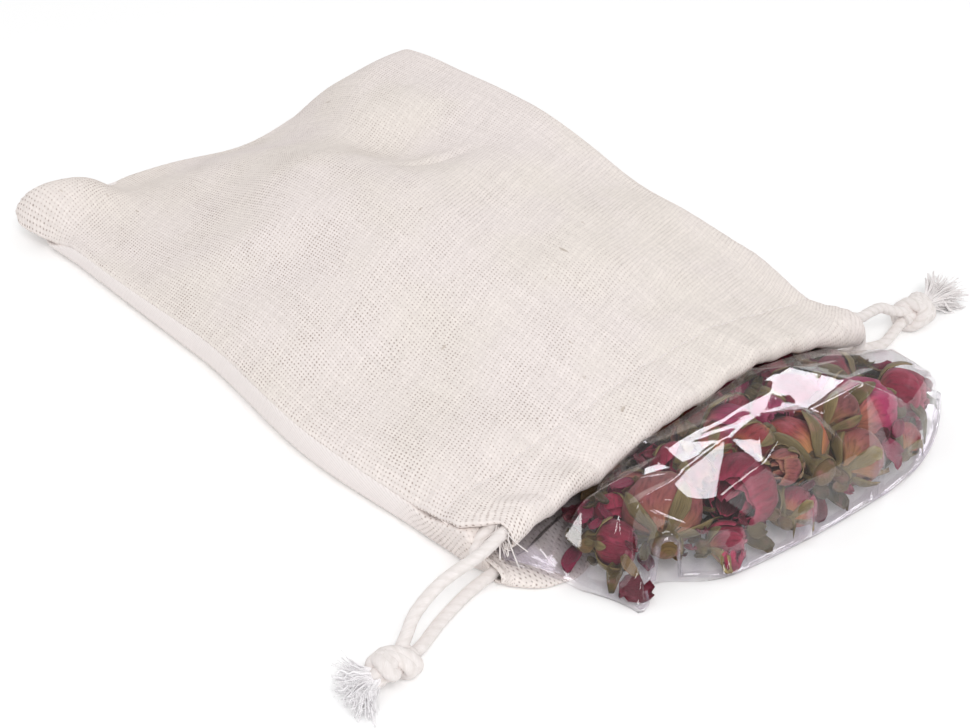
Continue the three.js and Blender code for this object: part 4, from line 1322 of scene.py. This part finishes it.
for number, (name, tail) in enumerate(TAILS.items()):
    body = f"{name}_drawcord"
    route = cord_route(tail)
    cord_shape = Shape()
    tube(cord_shape, route, CORD / 2, 18, CORD_LOBES, tail["lay_depth"], CORD_TWIST)
    cord_piece = cord_shape.piece(f"{name}_cord", TWISTED, "cotton_cord")
    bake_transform(cord_piece)
    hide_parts(f"{name}_cord_loop", f"{name}_cord_strand_upper", f"{name}_cord_strand_lower")
    knot_piece = knot_shape(tail).piece(f"{name}_overhand", TWISTED, "cotton_cord")
    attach(knot_piece, body)
    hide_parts(f"{name}_knot")
    tassel_piece = tassel_shape(tail, TASSEL_SEED + number).piece(f"{name}_fray", TWISTED, "cotton_cord")
    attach(tassel_piece, body)
    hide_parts(f"{name}_tassel")


# Room in the pouch


def pouch_clear_of_mouth(y):
    return ease((MOUTH_Y - CLEARANCE - FILM - y) / (POUCH_SHOWS / 3))


def pouch_front_y(x):
    left = x < POUCH_TIP_X
    reach = np.where(left, POUCH_TIP_X + SIDE_X, SIDE_X - POUCH_TIP_X)
    skew = np.where(left, POUCH_LEFT_SKEW, POUCH_RIGHT_SKEW)
    return MOUTH_Y - POUCH_SHOWS + skew * ((x - POUCH_TIP_X) / reach) ** 2


def pouch_sides(y):
    out = ease((MOUTH_Y - y) / POUCH_SHOWS)
    left = -SIDE_X + POUCH_LEFT_ROOM + POUCH_LEFT_TAPER * out
    return left, SIDE_X - POUCH_RIGHT_ROOM + POUCH_RIGHT_FLARE * out


def pouch_floor(y):
    return mix(INSIDE_FLOOR, TABLE_FLOOR, pouch_clear_of_mouth(y))


def pouch_top(x, y):
    seal = pouch_floor(y) + FILM + CLEARANCE
    left, right = pouch_sides(y)
    across = clamp01(np.abs((2 * x - left - right) / (right - left)))
    inside = mouth_height(x) + CLOTH / 2 - CASING_THICKNESS - 2 * CLEARANCE - FILM / 2
    outside = POUCH_BULGE * (1 - np.abs((x - POUCH_CROWN_X) / BAG_WIDTH * 2) ** 2.5 / 2)
    to_front = clamp01((MOUTH_Y - y) / (MOUTH_Y - pouch_front_y(x)))
    to_end = clamp01(y / POUCH_END_Y)
    full = (1 - across**8) * (1 - to_front**8) * (1 - to_end**8)
    return seal + (mix(inside, outside, pouch_clear_of_mouth(y)) - seal) * full


def room_at(x, y):
    low = pouch_floor(y) + FILM / 2 + CLEARANCE
    high = pouch_top(x, y) - FILM / 2 - POUCH_SLACK
    return np.minimum(ROW_PITCH - CLEARANCE, high - low) / 2


# Dried rosebuds


def bud_radius(s):
    """A bud's radius at a share of its length: the round hip, and the petals that swell over it."""
    hip = BUD_CALYX_RADIUS * np.sin(np.pi * clamp01(s / HIP_END)) ** HIP_POWER
    swell = np.maximum(np.sin(np.pi * clamp01((s - PETALS_FROM) / PETALS_SPAN)), 0)
    petals = BUD_RADIUS * swell**PETALS_POWER
    return np.maximum(hip, petals * ease((s - PETALS_SHOW) / PETALS_BLEND))


# Each kind: its body colour, a paler rim colour that is painted highlight, a darker colour that is painted
# shade, and the colour of its base
PETAL_TONES = {
    "crimson": (shade(160, 32, 66), shade(200, 70, 104), shade(98, 18, 42), shade(214, 150, 86)),
    "magenta": (shade(182, 44, 98), shade(216, 100, 140), shade(118, 22, 60), shade(222, 166, 108)),
    "russet": (shade(168, 58, 62), shade(212, 130, 78), shade(106, 32, 38), shade(222, 172, 98)),
    "dry": (shade(150, 82, 78), shade(190, 140, 108), shade(102, 52, 50), shade(168, 128, 78)),
}
SEPAL_TONE = shade(124, 108, 66)
SEPAL_EDGE = shade(158, 140, 92)
HIP_TONE = shade(112, 88, 52)


def bud_point(radius, turn, s):
    return np.stack([radius * np.cos(turn), radius * np.sin(turn), (s - BUD_MIDDLE) * BUD_LENGTH], -1)


def petal(shape, rng, tones, depth, steps, middle, dryness):
    """One petal of a bud, wrapped round its middle and creased. Depth is 0 outside and 1 in the heart."""
    body, edge, deep_shade, base = tones
    a, t = np.meshgrid(np.linspace(-1, 1, steps[0]), np.linspace(0, 1, steps[1]), indexing="ij")
    middle = middle + rng.normal(0, PETAL_STRAY)
    width = mix(*PETAL_WIDTHS, depth) * mix(PETAL_WAIST, 1, ease(t / 0.5))
    tip = mix(*PETAL_TIPS, depth) + rng.uniform(*PETAL_TIP_STRAY)
    notch = PETAL_NOTCH * np.exp(-((a / PETAL_NOTCH_WIDTH) ** 2)) * ease((t - 0.7) / 0.3)
    s = PETAL_START + (tip - PETAL_START) * t * (1 - PETAL_ROUND * np.abs(a) ** 2.5 * t) - notch
    turn = middle + a * width + PETAL_TWIST * (t - 0.5)
    radius = bud_radius(s) * mix(*PETAL_RADII, depth)
    radius = radius * (1 - PETAL_LAP * a) + PETAL_FLARE * rng.uniform(0, 1) * ease((t - 0.72) / 0.28)
    creases = PETAL_CREASE * np.sin(rng.uniform(7, 11) * a + rng.uniform(0, 6) + 1.5 * t)
    creases = creases + PETAL_FINE_CREASE * np.sin(17 * a + 5 * t)
    tuck = PETAL_TUCK * ease((np.abs(a) - 0.8) / 0.2) * rng.uniform(0, 1)
    radius = radius + creases * ease(t * 3) - tuck
    # Painted shade in patches, deeper on the inner petals towards the heart
    shade_patches = clamp01(0.5 + 0.5 * np.sin(3 * a + rng.uniform(0, 6)) * np.cos(4 * t + rng.uniform(0, 6)))
    colour = mix(body, deep_shade, (0.55 * shade_patches * mix(0.6, 1.2, depth))[..., None])
    # Painted highlight: the rims of each petal are painted paler
    rim = np.maximum(ease((t - 0.86) / 0.14), ease((np.abs(a) - 0.86) / 0.14))
    colour = mix(colour, edge, (0.7 * rim)[..., None])
    paler = (1 - ease(t / rng.uniform(0.3, 0.62))) * rng.uniform(0.6, 1)
    colour = mix(colour, base, paler[..., None]) * dryness
    closed_sheet(shape, bud_point(radius, turn, s), PETAL_THICKNESS, np.stack([a, t * 4], 2), colour)


def sepal(shape, rng, steps, middle):
    """One narrow sepal that lies on the bud and curls off it at the tip."""
    a, t = np.meshgrid(np.linspace(-1, 1, steps[0]), np.linspace(0, 1, steps[1]), indexing="ij")
    middle = middle + rng.normal(0, SEPAL_STRAY)
    tip = rng.uniform(*SEPAL_TIPS)
    s = SEPAL_START + (tip - SEPAL_START) * t
    width = SEPAL_WIDTH * (1 - t) ** 0.7 * mix(1.5, 1, ease(t * 4)) + SEPAL_POINT
    curl = rng.uniform(0, SEPAL_CURL) * ease((t - 0.6) / 0.4)
    radius = np.maximum(bud_radius(s), SEPAL_LEAST_RADIUS) + SEPAL_OFF + curl + SEPAL_KEEL * (1 - np.abs(a))
    colour = mix(np.array(SEPAL_TONE), np.array(SEPAL_EDGE), ease(np.abs(a) * t * 1.3)[..., None])
    colour = colour * rng.uniform(0.75, 1.2)
    grid = bud_point(radius, middle + a * width, s)
    closed_sheet(shape, grid, SEPAL_THICKNESS, np.stack([a, t * 3], 2), colour)


def hip_shape(rng, sides, stops):
    """The round hip under a bud, with a stub of its stalk."""
    profile = np.maximum(bud_radius(stops), STALK)
    profile[0] = STALK_TIP
    hip = Shape()
    tube(hip, np.stack([0 * stops, 0 * stops, (stops - BUD_MIDDLE) * BUD_LENGTH], 1), profile, sides)
    hip.tones = [np.broadcast_to(np.array(HIP_TONE) * rng.uniform(0.8, 1.25), hip.tones[0].shape)]
    return hip


def bud_shape(rng, kind, fineness):
    """One bud along +Z: a round hip, five sepals, and petals wrapped round each other."""
    shape = Shape()
    tones = [np.array(colour) for colour in PETAL_TONES[kind]]
    layers, petal_steps, sepal_steps, sides, rings = fineness
    first = rng.uniform(0, 2 * np.pi)
    dryness = rng.uniform(0.75, 1.15)
    for layer in range(layers):
        depth = layer / (layers - 1)
        petal(shape, rng, tones, depth, petal_steps, first + PETAL_TURN * layer, dryness)
    for number in range(SEPALS):
        sepal(shape, rng, sepal_steps, first + 2 * np.pi * number / SEPALS)
    shape.take(hip_shape(rng, sides, np.linspace(STALK_END, HIP_END, rings)))
    return shape


def along_matrix(middle, aim, scale, roll):
    """Puts a bud's middle and +Z at a place and aim."""
    turn = Vector((0, 0, 1)).rotation_difference(Vector(aim)).to_matrix() @ Matrix.Rotation(roll, 3, "Z")
    return placing(np.array(turn) * scale, middle)


def cad_bud(node):
    """Where a bud lies in the part: its middle, the way to its tip, and its scale."""
    points = np.array([v.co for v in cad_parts[node].data.vertices]) / MM
    points = np.unique(points.round(3), axis=0)
    middle = points.mean(axis=0)
    axis = np.linalg.svd(points - middle)[2][0]
    along = (points - middle) @ axis
    wide = np.linalg.norm(points - middle - along[:, None] * axis, axis=1)
    if wide[along > 0].mean() < wide[along < 0].mean():
        axis, along = -axis, -along
    stalk, tip = points[along.argmin()], points[along.argmax()]
    scale = np.linalg.norm(tip - stalk) / (BUD_SPAN * BUD_LENGTH)
    return stalk + axis * (BUD_MIDDLE - STALK_END) * BUD_LENGTH * scale, axis, scale


def row_places(row):
    """Middles and radii of the hidden buds of one row."""
    y = MOUTH_Y + SLIT_LENGTH + CLEARANCE + (row + 0.5) * ROW_PITCH
    left, right = pouch_sides(y)
    xs = np.arange(left + ROW_BEAD / 2, right - ROW_BEAD / 3, ROW_BEAD)
    rooms = room_at(xs, y)
    low = pouch_floor(y) + FILM / 2 + CLEARANCE
    return [(np.array([x, y, low + r]), float(r)) for x, r in zip(xs, rooms) if r > ROW_SMALLEST]


balls = []
filling = []
KINDS = ("crimson", "magenta", "crimson", "russet", "crimson")
for number in range(1, LOOSE_BUDS + 1):
    node = f"rosebud_{number:02d}"
    middle, axis, scale = cad_bud(node)
    rng = np.random.default_rng(BUD_SEED + number)
    dry = number % DRY_EVERY == 0
    bud = bud_shape(rng, "dry" if dry else KINDS[number % len(KINDS)], SEEN_BUD)
    scale *= BUD_SWELL
    bud.turned(along_matrix(middle, axis, scale, rng.uniform(0, 6)))
    middle = middle + bud.lifted(pouch_floor(middle[1]) + FILM)
    filling.append((f"bud_{number:02d}", bud, "dry_petals" if dry else "rose_petals", node))
    balls.append((middle, BUD_RADIUS * scale))
    balls.append((middle + axis * (HIP_MIDDLE - BUD_MIDDLE) * BUD_LENGTH * scale, BUD_CALYX_RADIUS * scale))

for row in range(ROWS):
    rng = np.random.default_rng(ROW_SEED + row)
    row_shape = Shape()
    for middle, radius in row_places(row):
        scale = radius / BUD_RADIUS * ROW_SWELL
        aim = unit((rng.choice((-1, 1)), rng.normal(0, ROW_AIM_STRAY), rng.normal(0, ROW_AIM_LIFT)))
        middle = middle + (*rng.uniform(-ROW_STRAY, ROW_STRAY, 2), 0)
        kind = KINDS[rng.integers(len(KINDS))] if rng.uniform() > DRY_SHARE else "dry"
        bud = bud_shape(rng, kind, HIDDEN_BUD)
        bud.turned(along_matrix(middle, aim, scale, rng.uniform(0, 6)))
        middle = middle + bud.lifted(pouch_floor(middle[1]) + FILM)
        row_shape.take(bud)
        balls.append((middle, radius))
    filling.append((f"bud_row_{row + 1}", row_shape, "rose_petals", f"rosebud_row_{row + 1}"))


# Clear film over the buds


def film_sides(y):
    """The film reaches past the buds as a flat seal on both sides."""
    left, right = pouch_sides(y)
    out = ease((MOUTH_Y - FIN_START - y) / FIN_BLEND)
    spread = FILM_SPREAD * ease(1 - abs(y - MOUTH_Y) / FILM_SPREAD_REACH)
    return left - FILM_SIDE_FIN * out - spread, right + FILM_SIDE_FIN / 2 * out


def film_front_y(x):
    """The film's front edge, drawn back beside the flap at its near corner."""
    back = FILM_BACK * np.exp(-(((x - FILM_BACK_X) / FILM_BACK_WIDTH) ** 2))
    return pouch_front_y(x) + back * ease((x - FILM_BACK_X) / FILM_BACK_RISE + 1.5)


def film_plan():
    """Where the film's points lie in plan, from its inner end to its front edge."""
    u = np.linspace(0, 1, FILM_COLUMNS)
    x = np.zeros((FILM_COLUMNS, FILM_INSIDE_ROWS + FILM_OUTSIDE_ROWS))
    y = np.zeros_like(x)
    for j, v in enumerate(np.linspace(0, 1, FILM_INSIDE_ROWS, endpoint=False)):
        y[:, j] = mix(POUCH_END_Y, MOUTH_Y, v)
        left, right = film_sides(y[0, j])
        x[:, j] = mix(left, right, u)
    for j, v in enumerate(np.linspace(0, 1, FILM_OUTSIDE_ROWS)):
        left, right = film_sides(MOUTH_Y - v * POUCH_SHOWS)
        x[:, FILM_INSIDE_ROWS + j] = mix(left, right, u)
        y[:, FILM_INSIDE_ROWS + j] = mix(MOUTH_Y, film_front_y(x[:, FILM_INSIDE_ROWS + j]), v)
    return x, y


def bud_tops(x, y):
    """The lowest that the film can lie: on the buds, or at its seals between them."""
    under = pouch_floor(y) + FILM + CLEARANCE
    for middle, radius in balls:
        apart = (x - middle[0]) ** 2 + (y - middle[1]) ** 2
        top = middle[2] + np.sqrt(np.maximum(radius**2 - apart, 0)) + FILM_OVER_BUDS
        under = np.where(apart < radius**2, np.maximum(under, top), under)
    return under


def draped(under):
    """A taut film over the buds: it lies on the high ones and spans between them."""
    z = under.copy()
    for _ in range(FILM_SETTLING):
        spanned = (z[:-2, 1:-1] + z[2:, 1:-1] + z[1:-1, :-2] + z[1:-1, 2:]) / 4
        z[1:-1, 1:-1] = np.maximum(under[1:-1, 1:-1], spanned)
    return z


def facet_corners(counts, steps, rng):
    """Scattered grid places that flat facets join: in order at the rim, out of line inside it."""
    stops = []
    for count, step in zip(counts, steps):
        stops.append(np.round(np.linspace(0, count - 1, round(count / step) + 1)).astype(int))
    i, j = np.meshgrid(*stops, indexing="ij")
    inner = (slice(1, -1), slice(1, -1))
    for places, step in ((i, steps[0]), (j, steps[1])):
        stray = rng.uniform(-FACET_STRAY, FACET_STRAY, places[inner].shape)
        places[inner] += np.round(stray * step).astype(int)
    return i, j


def facet_list(counts, rng):
    """Two three-cornered facets for each cell, parted along either diagonal."""
    made = []
    for a in range(counts[0] - 1):
        for b in range(counts[1] - 1):
            p, q, r, s = (a, b), (a + 1, b), (a + 1, b + 1), (a, b + 1)
            made += [(p, q, r), (p, r, s)] if rng.uniform() < 0.5 else [(p, q, s), (q, r, s)]
    return made


def facet_shares(corners):
    """The grid points in a facet and their shares of its three corners."""
    (i0, j0), (i1, j1), (i2, j2) = corners
    i, j = np.mgrid[min(i0, i1, i2):max(i0, i1, i2) + 1, min(j0, j1, j2):max(j0, j1, j2) + 1]
    whole = (i1 - i0) * (j2 - j0) - (i2 - i0) * (j1 - j0)
    second = ((i - i0) * (j2 - j0) - (i2 - i0) * (j - j0)) / whole
    third = ((i1 - i0) * (j - j0) - (i - i0) * (j1 - j0)) / whole
    inside = (second >= -1e-9) & (third >= -1e-9) & (second + third <= 1 + 1e-9)
    shares = np.stack([1 - second - third, second, third], -1)[inside]
    return i[inside], j[inside], shares


def crumpled(taut, under, lift, steps, seed):
    """The film creased into flat facets that clear the buds."""
    rng = np.random.default_rng(seed)
    i, j = facet_corners(taut.shape, steps, rng)
    corner_z = taut[i, j] + lift[i, j] * rng.uniform(0, 1, i.shape) ** 1.5
    parts = []
    for facet in facet_list(i.shape, rng):
        parts.append((facet, facet_shares([(i[c], j[c]) for c in facet])))
    for _ in range(FACET_SETTLING):
        for facet, (fi, fj, shares) in parts:
            short = under[fi, fj] - shares @ np.array([corner_z[c] for c in facet])
            worst = short.argmax()
            if short[worst] > 0:
                share = shares[worst]
                for c, part in zip(facet, share):
                    corner_z[c] += short[worst] * part / (share @ share)
    z = taut.copy()
    for facet, (fi, fj, shares) in parts:
        z[fi, fj] = shares @ np.array([corner_z[c] for c in facet])
    return z


def from_rim(shape_2d):
    """How far each point of a grid is from its rim, as a share: 0 at the rim and 1 in the middle."""
    i = np.linspace(-1, 1, shape_2d[0])[:, None]
    j = np.linspace(-1, 1, shape_2d[1])[None, :]
    return np.minimum(1 - np.abs(i), 1 - np.abs(j))


def under_film(x, y):
    """The highest that a petal can reach at a place under the film, and no limit beside the film."""
    v = (MOUTH_Y - y) / (MOUTH_Y - film_front_y(x))
    hidden = FILM_INSIDE_ROWS * (y - POUCH_END_Y) / (MOUTH_Y - POUCH_END_Y)
    row = np.where(y > MOUTH_Y, hidden, FILM_INSIDE_ROWS + v * (FILM_OUTSIDE_ROWS - 1))
    left, right = film_sides(np.where(y > MOUTH_Y, y, MOUTH_Y - v * POUCH_SHOWS))
    column = (x - left) / (right - left) * (FILM_COLUMNS - 1)
    i = np.clip(np.floor(column).astype(int), 0, film_z.shape[0] - 2)
    j = np.clip(np.floor(row).astype(int), 0, film_z.shape[1] - 2)
    near = mix(film_z[i, j], film_z[i + 1, j], clamp01(column - i))
    far = mix(film_z[i, j + 1], film_z[i + 1, j + 1], clamp01(column - i))
    over = mix(near, far, clamp01(row - j)) - FILM_SKIN
    beside = (column < 0) | (column > film_z.shape[0] - 1) | (row < 0) | (row > film_z.shape[1] - 1)
    return np.where(beside, np.inf, over)


film_x, film_y = film_plan()
film_under = bud_tops(film_x, film_y)
showing = ease((MOUTH_Y + SHOWING_START - film_y) / SHOWING_BLEND)
film_z = crumpled(draped(film_under), film_under, FILM_CRUMPLE * showing, FILM_FACET, FILM_SEED)
seal_z = pouch_floor(film_y) + FILM + CLEARANCE
to_front = film_y - film_front_y(film_x)
film_left, film_right = pouch_sides(film_y)
from_side = np.minimum(film_x - film_left, film_right - film_x)
off_side = mix(1, ease((from_side + FILM_LAP) / FIN_SLOPE), showing)
filled_share = np.minimum(ease((to_front - FILM_FIN / 2) / FILM_FIN), off_side)
fin = seal_z + FIN_HEIGHT + FIN_WAVE * waves(film_x, film_y, FIN_WAVE_SIZE, 36)
film_z = np.maximum(mix(fin, film_z, filled_share), film_under - FILM_OVER_BUDS / 2)
ripples = RIPPLE * waves(film_x, film_y, RIPPLE_SIZE, 37) + CRINKLE * facets(film_x, film_y, CRINKLE_SIZE, 34)
film_z += ripples * showing * ease(from_rim(film_x.shape) / RIPPLE_RIM)
in_bag = film_y > MOUTH_Y - CLEARANCE
film_z = np.where(in_bag, np.minimum(film_z, pouch_top(film_x, film_y)), film_z)
film_grid = np.stack([film_x, film_y, film_z], 2)
film_shape = Shape()
film_tones = np.ones((*film_x.shape, 4))
at_front = ease((to_front - SEAL_EDGE) / FILM_SEAL)
film_tones[:, :, 0] = np.minimum(at_front, ease((from_side + FILM_LAP) / FILM_SEAL))
closed_sheet(film_shape, film_grid, FILM_SKIN, tones=film_tones)
front_film = film_shape.piece("front_film", FILM_LOOK, "clear_film")
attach(front_film, "sachet")
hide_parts("pouch_front_film")

under_z = pouch_floor(film_y) + UNDER_CRUMPLE * (1 + facets(film_x, film_y, RIPPLE_SIZE, 35)) / 2
under_grid = np.stack([film_x, film_y, under_z], 2)[::2, ::2]
under_shape = Shape()
closed_sheet(under_shape, under_grid, FILM_SKIN)
back_film = under_shape.piece("back_film", FILM_LOOK, "clear_film")
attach(back_film, "sachet")
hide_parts("pouch_back_film")
for name, shape, slot, node in filling:
    shape.tucked(under_film)
    bud_piece = shape.piece(name, PETALS, slot)
    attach(bud_piece, "sachet")
    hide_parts(node)


# Loose petals and leaf between the buds

BIT_TONES = [
    shade(150, 34, 74),
    shade(118, 24, 48),
    shade(112, 96, 56),
    shade(96, 80, 48),
    shade(140, 112, 70),
]


def bit_shape(shape, rng, middle, size):
    """One curled petal or scrap of leaf."""
    a, t = np.meshgrid(np.linspace(-1, 1, 7), np.linspace(-1, 1, 8), indexing="ij")
    wide = size * rng.uniform(0.5, 0.9) * np.sqrt(np.maximum(1 - 0.92 * t**2, 0))
    curl = size * rng.uniform(0.15, 0.5)
    ripple = 0.08 * size * np.sin(4 * a + rng.uniform(0, 6)) * t
    local = np.stack([wide * a, size * t, curl * (a**2 + 0.6 * t**2) + ripple], 2)
    aim = unit((rng.normal(0, 0.6), rng.normal(-0.3, 0.6), 1))
    turn = along_matrix(middle, aim, 1, rng.uniform(0, 6))
    grid = local @ turn[:3, :3].T + turn[:3, 3]
    tone = np.array(BIT_TONES[rng.integers(len(BIT_TONES))]) * rng.uniform(0.75, 1.2)
    tones = np.broadcast_to(tone, (*a.shape, 4)) * (1 - 0.25 * np.abs(t))[..., None]
    closed_sheet(shape, grid, PETAL_THICKNESS, np.stack([a, t * 3], 2), tones)


def hidden_bits(shape, rng):
    """Petals on the floor of the pouch's hidden part, between its rows of buds."""
    for _ in range(HIDDEN_BITS):
        y = rng.uniform(MOUTH_Y + BIT_BEHIND_MOUTH, POUCH_END_Y - HIDDEN_FROM_END)
        left, right = pouch_sides(y)
        x = rng.uniform(left + HIDDEN_FROM_SIDE, right - HIDDEN_FROM_SIDE)
        size = rng.uniform(BIT_SMALLEST, BIT_LARGEST)
        height = mix(*HIDDEN_HEIGHTS, rng.uniform())
        if pouch_top(x, y) - pouch_floor(y) > height + size * 0.8:
            bit_shape(shape, rng, np.array([x, y, pouch_floor(y) + height]), size)


def loose_bits():
    """Bits low in the gaps that the buds leave, well under the film."""
    rng = np.random.default_rng(BIT_SEED)
    shape = Shape()
    middles = np.array([middle for middle, _ in balls])
    radii = np.array([radius for _, radius in balls])
    shown = film_y < MOUTH_Y + BIT_BEHIND_MOUTH
    outside = shown & (to_front > BIT_FROM_FRONT) & (from_side > BIT_FROM_SIDE)
    spots = np.stack([film_x[outside], film_y[outside], film_z[outside]], 1)
    placed = np.zeros((0, 3))
    for height in BIT_HEIGHTS:
        for x, y, top in rng.permutation(spots)[:BIT_TRIES]:
            middle = np.array([x, y, pouch_floor(y) + height])
            room = (np.linalg.norm(middles - middle, axis=1) - radii).min()
            if room < BIT_ROOM or top - middle[2] < BIT_UNDER_FILM:
                continue
            if len(placed) and np.linalg.norm(placed - middle, axis=1).min() < BIT_SPACING:
                continue
            placed = np.vstack([placed, middle])
            bit_shape(shape, rng, middle, min(BIT_LARGEST, BIT_SMALLEST + 0.8 * room))
    shape.rested()
    hidden_bits(shape, rng)
    shape.tucked(under_film)
    return shape


bits_piece = loose_bits().piece("loose_petals", PETALS, "rose_petals")
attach(bits_piece, "sachet")


# Hem fray and stitches


def hem_fray(side, seed):
    """Short threads that hang out of the cut end of the front casing."""
    rng = np.random.default_rng(seed)
    shape = Shape()
    edge = front_row(np.array([side * SIDE_X]), FOLD_Y)[0]
    for _ in range(FRAY_THREADS[side]):
        start = edge + (0, rng.uniform(*FRAY_ALONG), -2 * FOLD_RADIUS * rng.uniform(0.1, 1.1))
        length = rng.uniform(FRAY_SHORTEST, FRAY_LONGEST)
        aim = unit((side * rng.uniform(0, 0.7), -rng.uniform(-0.2, 1), -rng.uniform(0, 1)))
        t = np.linspace(0, 1, 9)[:, None]
        bend = rng.normal(0, 0.35, 3) * length
        line = start + aim * length * t + bend * t**2 + (0, 0, -0.25 * length) * t**2
        line[:, 2] = np.maximum(line[:, 2], FRAY_LOWEST)
        tube(shape, line, FRAY_THREAD / 2 * rng.uniform(0.7, 1.2), 6)
    return shape


for number, (name, tail) in enumerate(TAILS.items()):
    fray_piece = hem_fray(tail["side"], FRAY_SEED + number).piece(f"{name}_hem_fray", TWISTED, "cotton_cloth")
    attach(fray_piece, "bag")

stitch_shape = Shape()
for start in np.arange(-SIDE_X + 1, SIDE_X - STITCH, STITCH + STITCH_GAP):
    line = front_row(start + STITCH * np.linspace(0, 1, 7), STITCH_Y)
    line[:, 2] += CLOTH / 2 + STITCH_THREAD * np.array([-0.6, 0, 0.25, 0.3, 0.25, 0, -0.6])
    tube(stitch_shape, line, STITCH_THREAD / 2, 7)
stitch_piece = stitch_shape.piece("casing_stitches", TWISTED, "cotton_cloth")
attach(stitch_piece, "bag")


# Stage

floor_look = Look("floor")
floor_white = floor_look.node("ShaderNodeBsdfDiffuse", {"Color": (1, 1, 1, 1)})
seen = floor_look.node("ShaderNodeLightPath").outputs
mirrored = floor_look.math("MAXIMUM", seen["Is Glossy Ray"], seen["Is Transmission Ray"])
in_sight = floor_look.math("MAXIMUM", seen["Is Camera Ray"], mirrored)
glow_level = floor_look.math("MULTIPLY", in_sight, FLOOR_GLOW)
floor_glow = floor_look.node("ShaderNodeEmission", {"Strength": glow_level})
floor_shader = floor_look.node("ShaderNodeAddShader", {0: floor_white.outputs[0], 1: floor_glow.outputs[0]})
floor_look.surface(floor_shader)
bpy.ops.mesh.primitive_plane_add(size=FLOOR_SIZE)
floor = bpy.context.object
floor.name = "floor"
floor.data.materials.append(floor_look.material)

world = bpy.context.scene.world or bpy.data.worlds.new("world")
bpy.context.scene.world = world
world.use_nodes = True
background = world.node_tree.nodes["Background"]
background.inputs[0].default_value = (1, 1, 1, 1)
ray = world.node_tree.nodes.new("ShaderNodeLightPath")
level = world.node_tree.nodes.new("ShaderNodeMapRange")
level.inputs["To Min"].default_value = WORLD_LIGHT
level.inputs["To Max"].default_value = WORLD_IN_GLOSS
world.node_tree.links.new(ray.outputs["Is Glossy Ray"], level.inputs["Value"])
world.node_tree.links.new(level.outputs[0], background.inputs[1])

soft_lamp("key", (-0.35, -0.6, 0.75), (0.45, 0.45), 3.4)
soft_lamp("film_back", (0.5, 0.45, 0.5), (0.5, 0.3), 3.3, (0.96, 0.94, 1), True)
soft_lamp("film_top", (0.5, -0.35, 0.7), (0.5, 0.3), 3.3, (0.97, 0.95, 1), True)
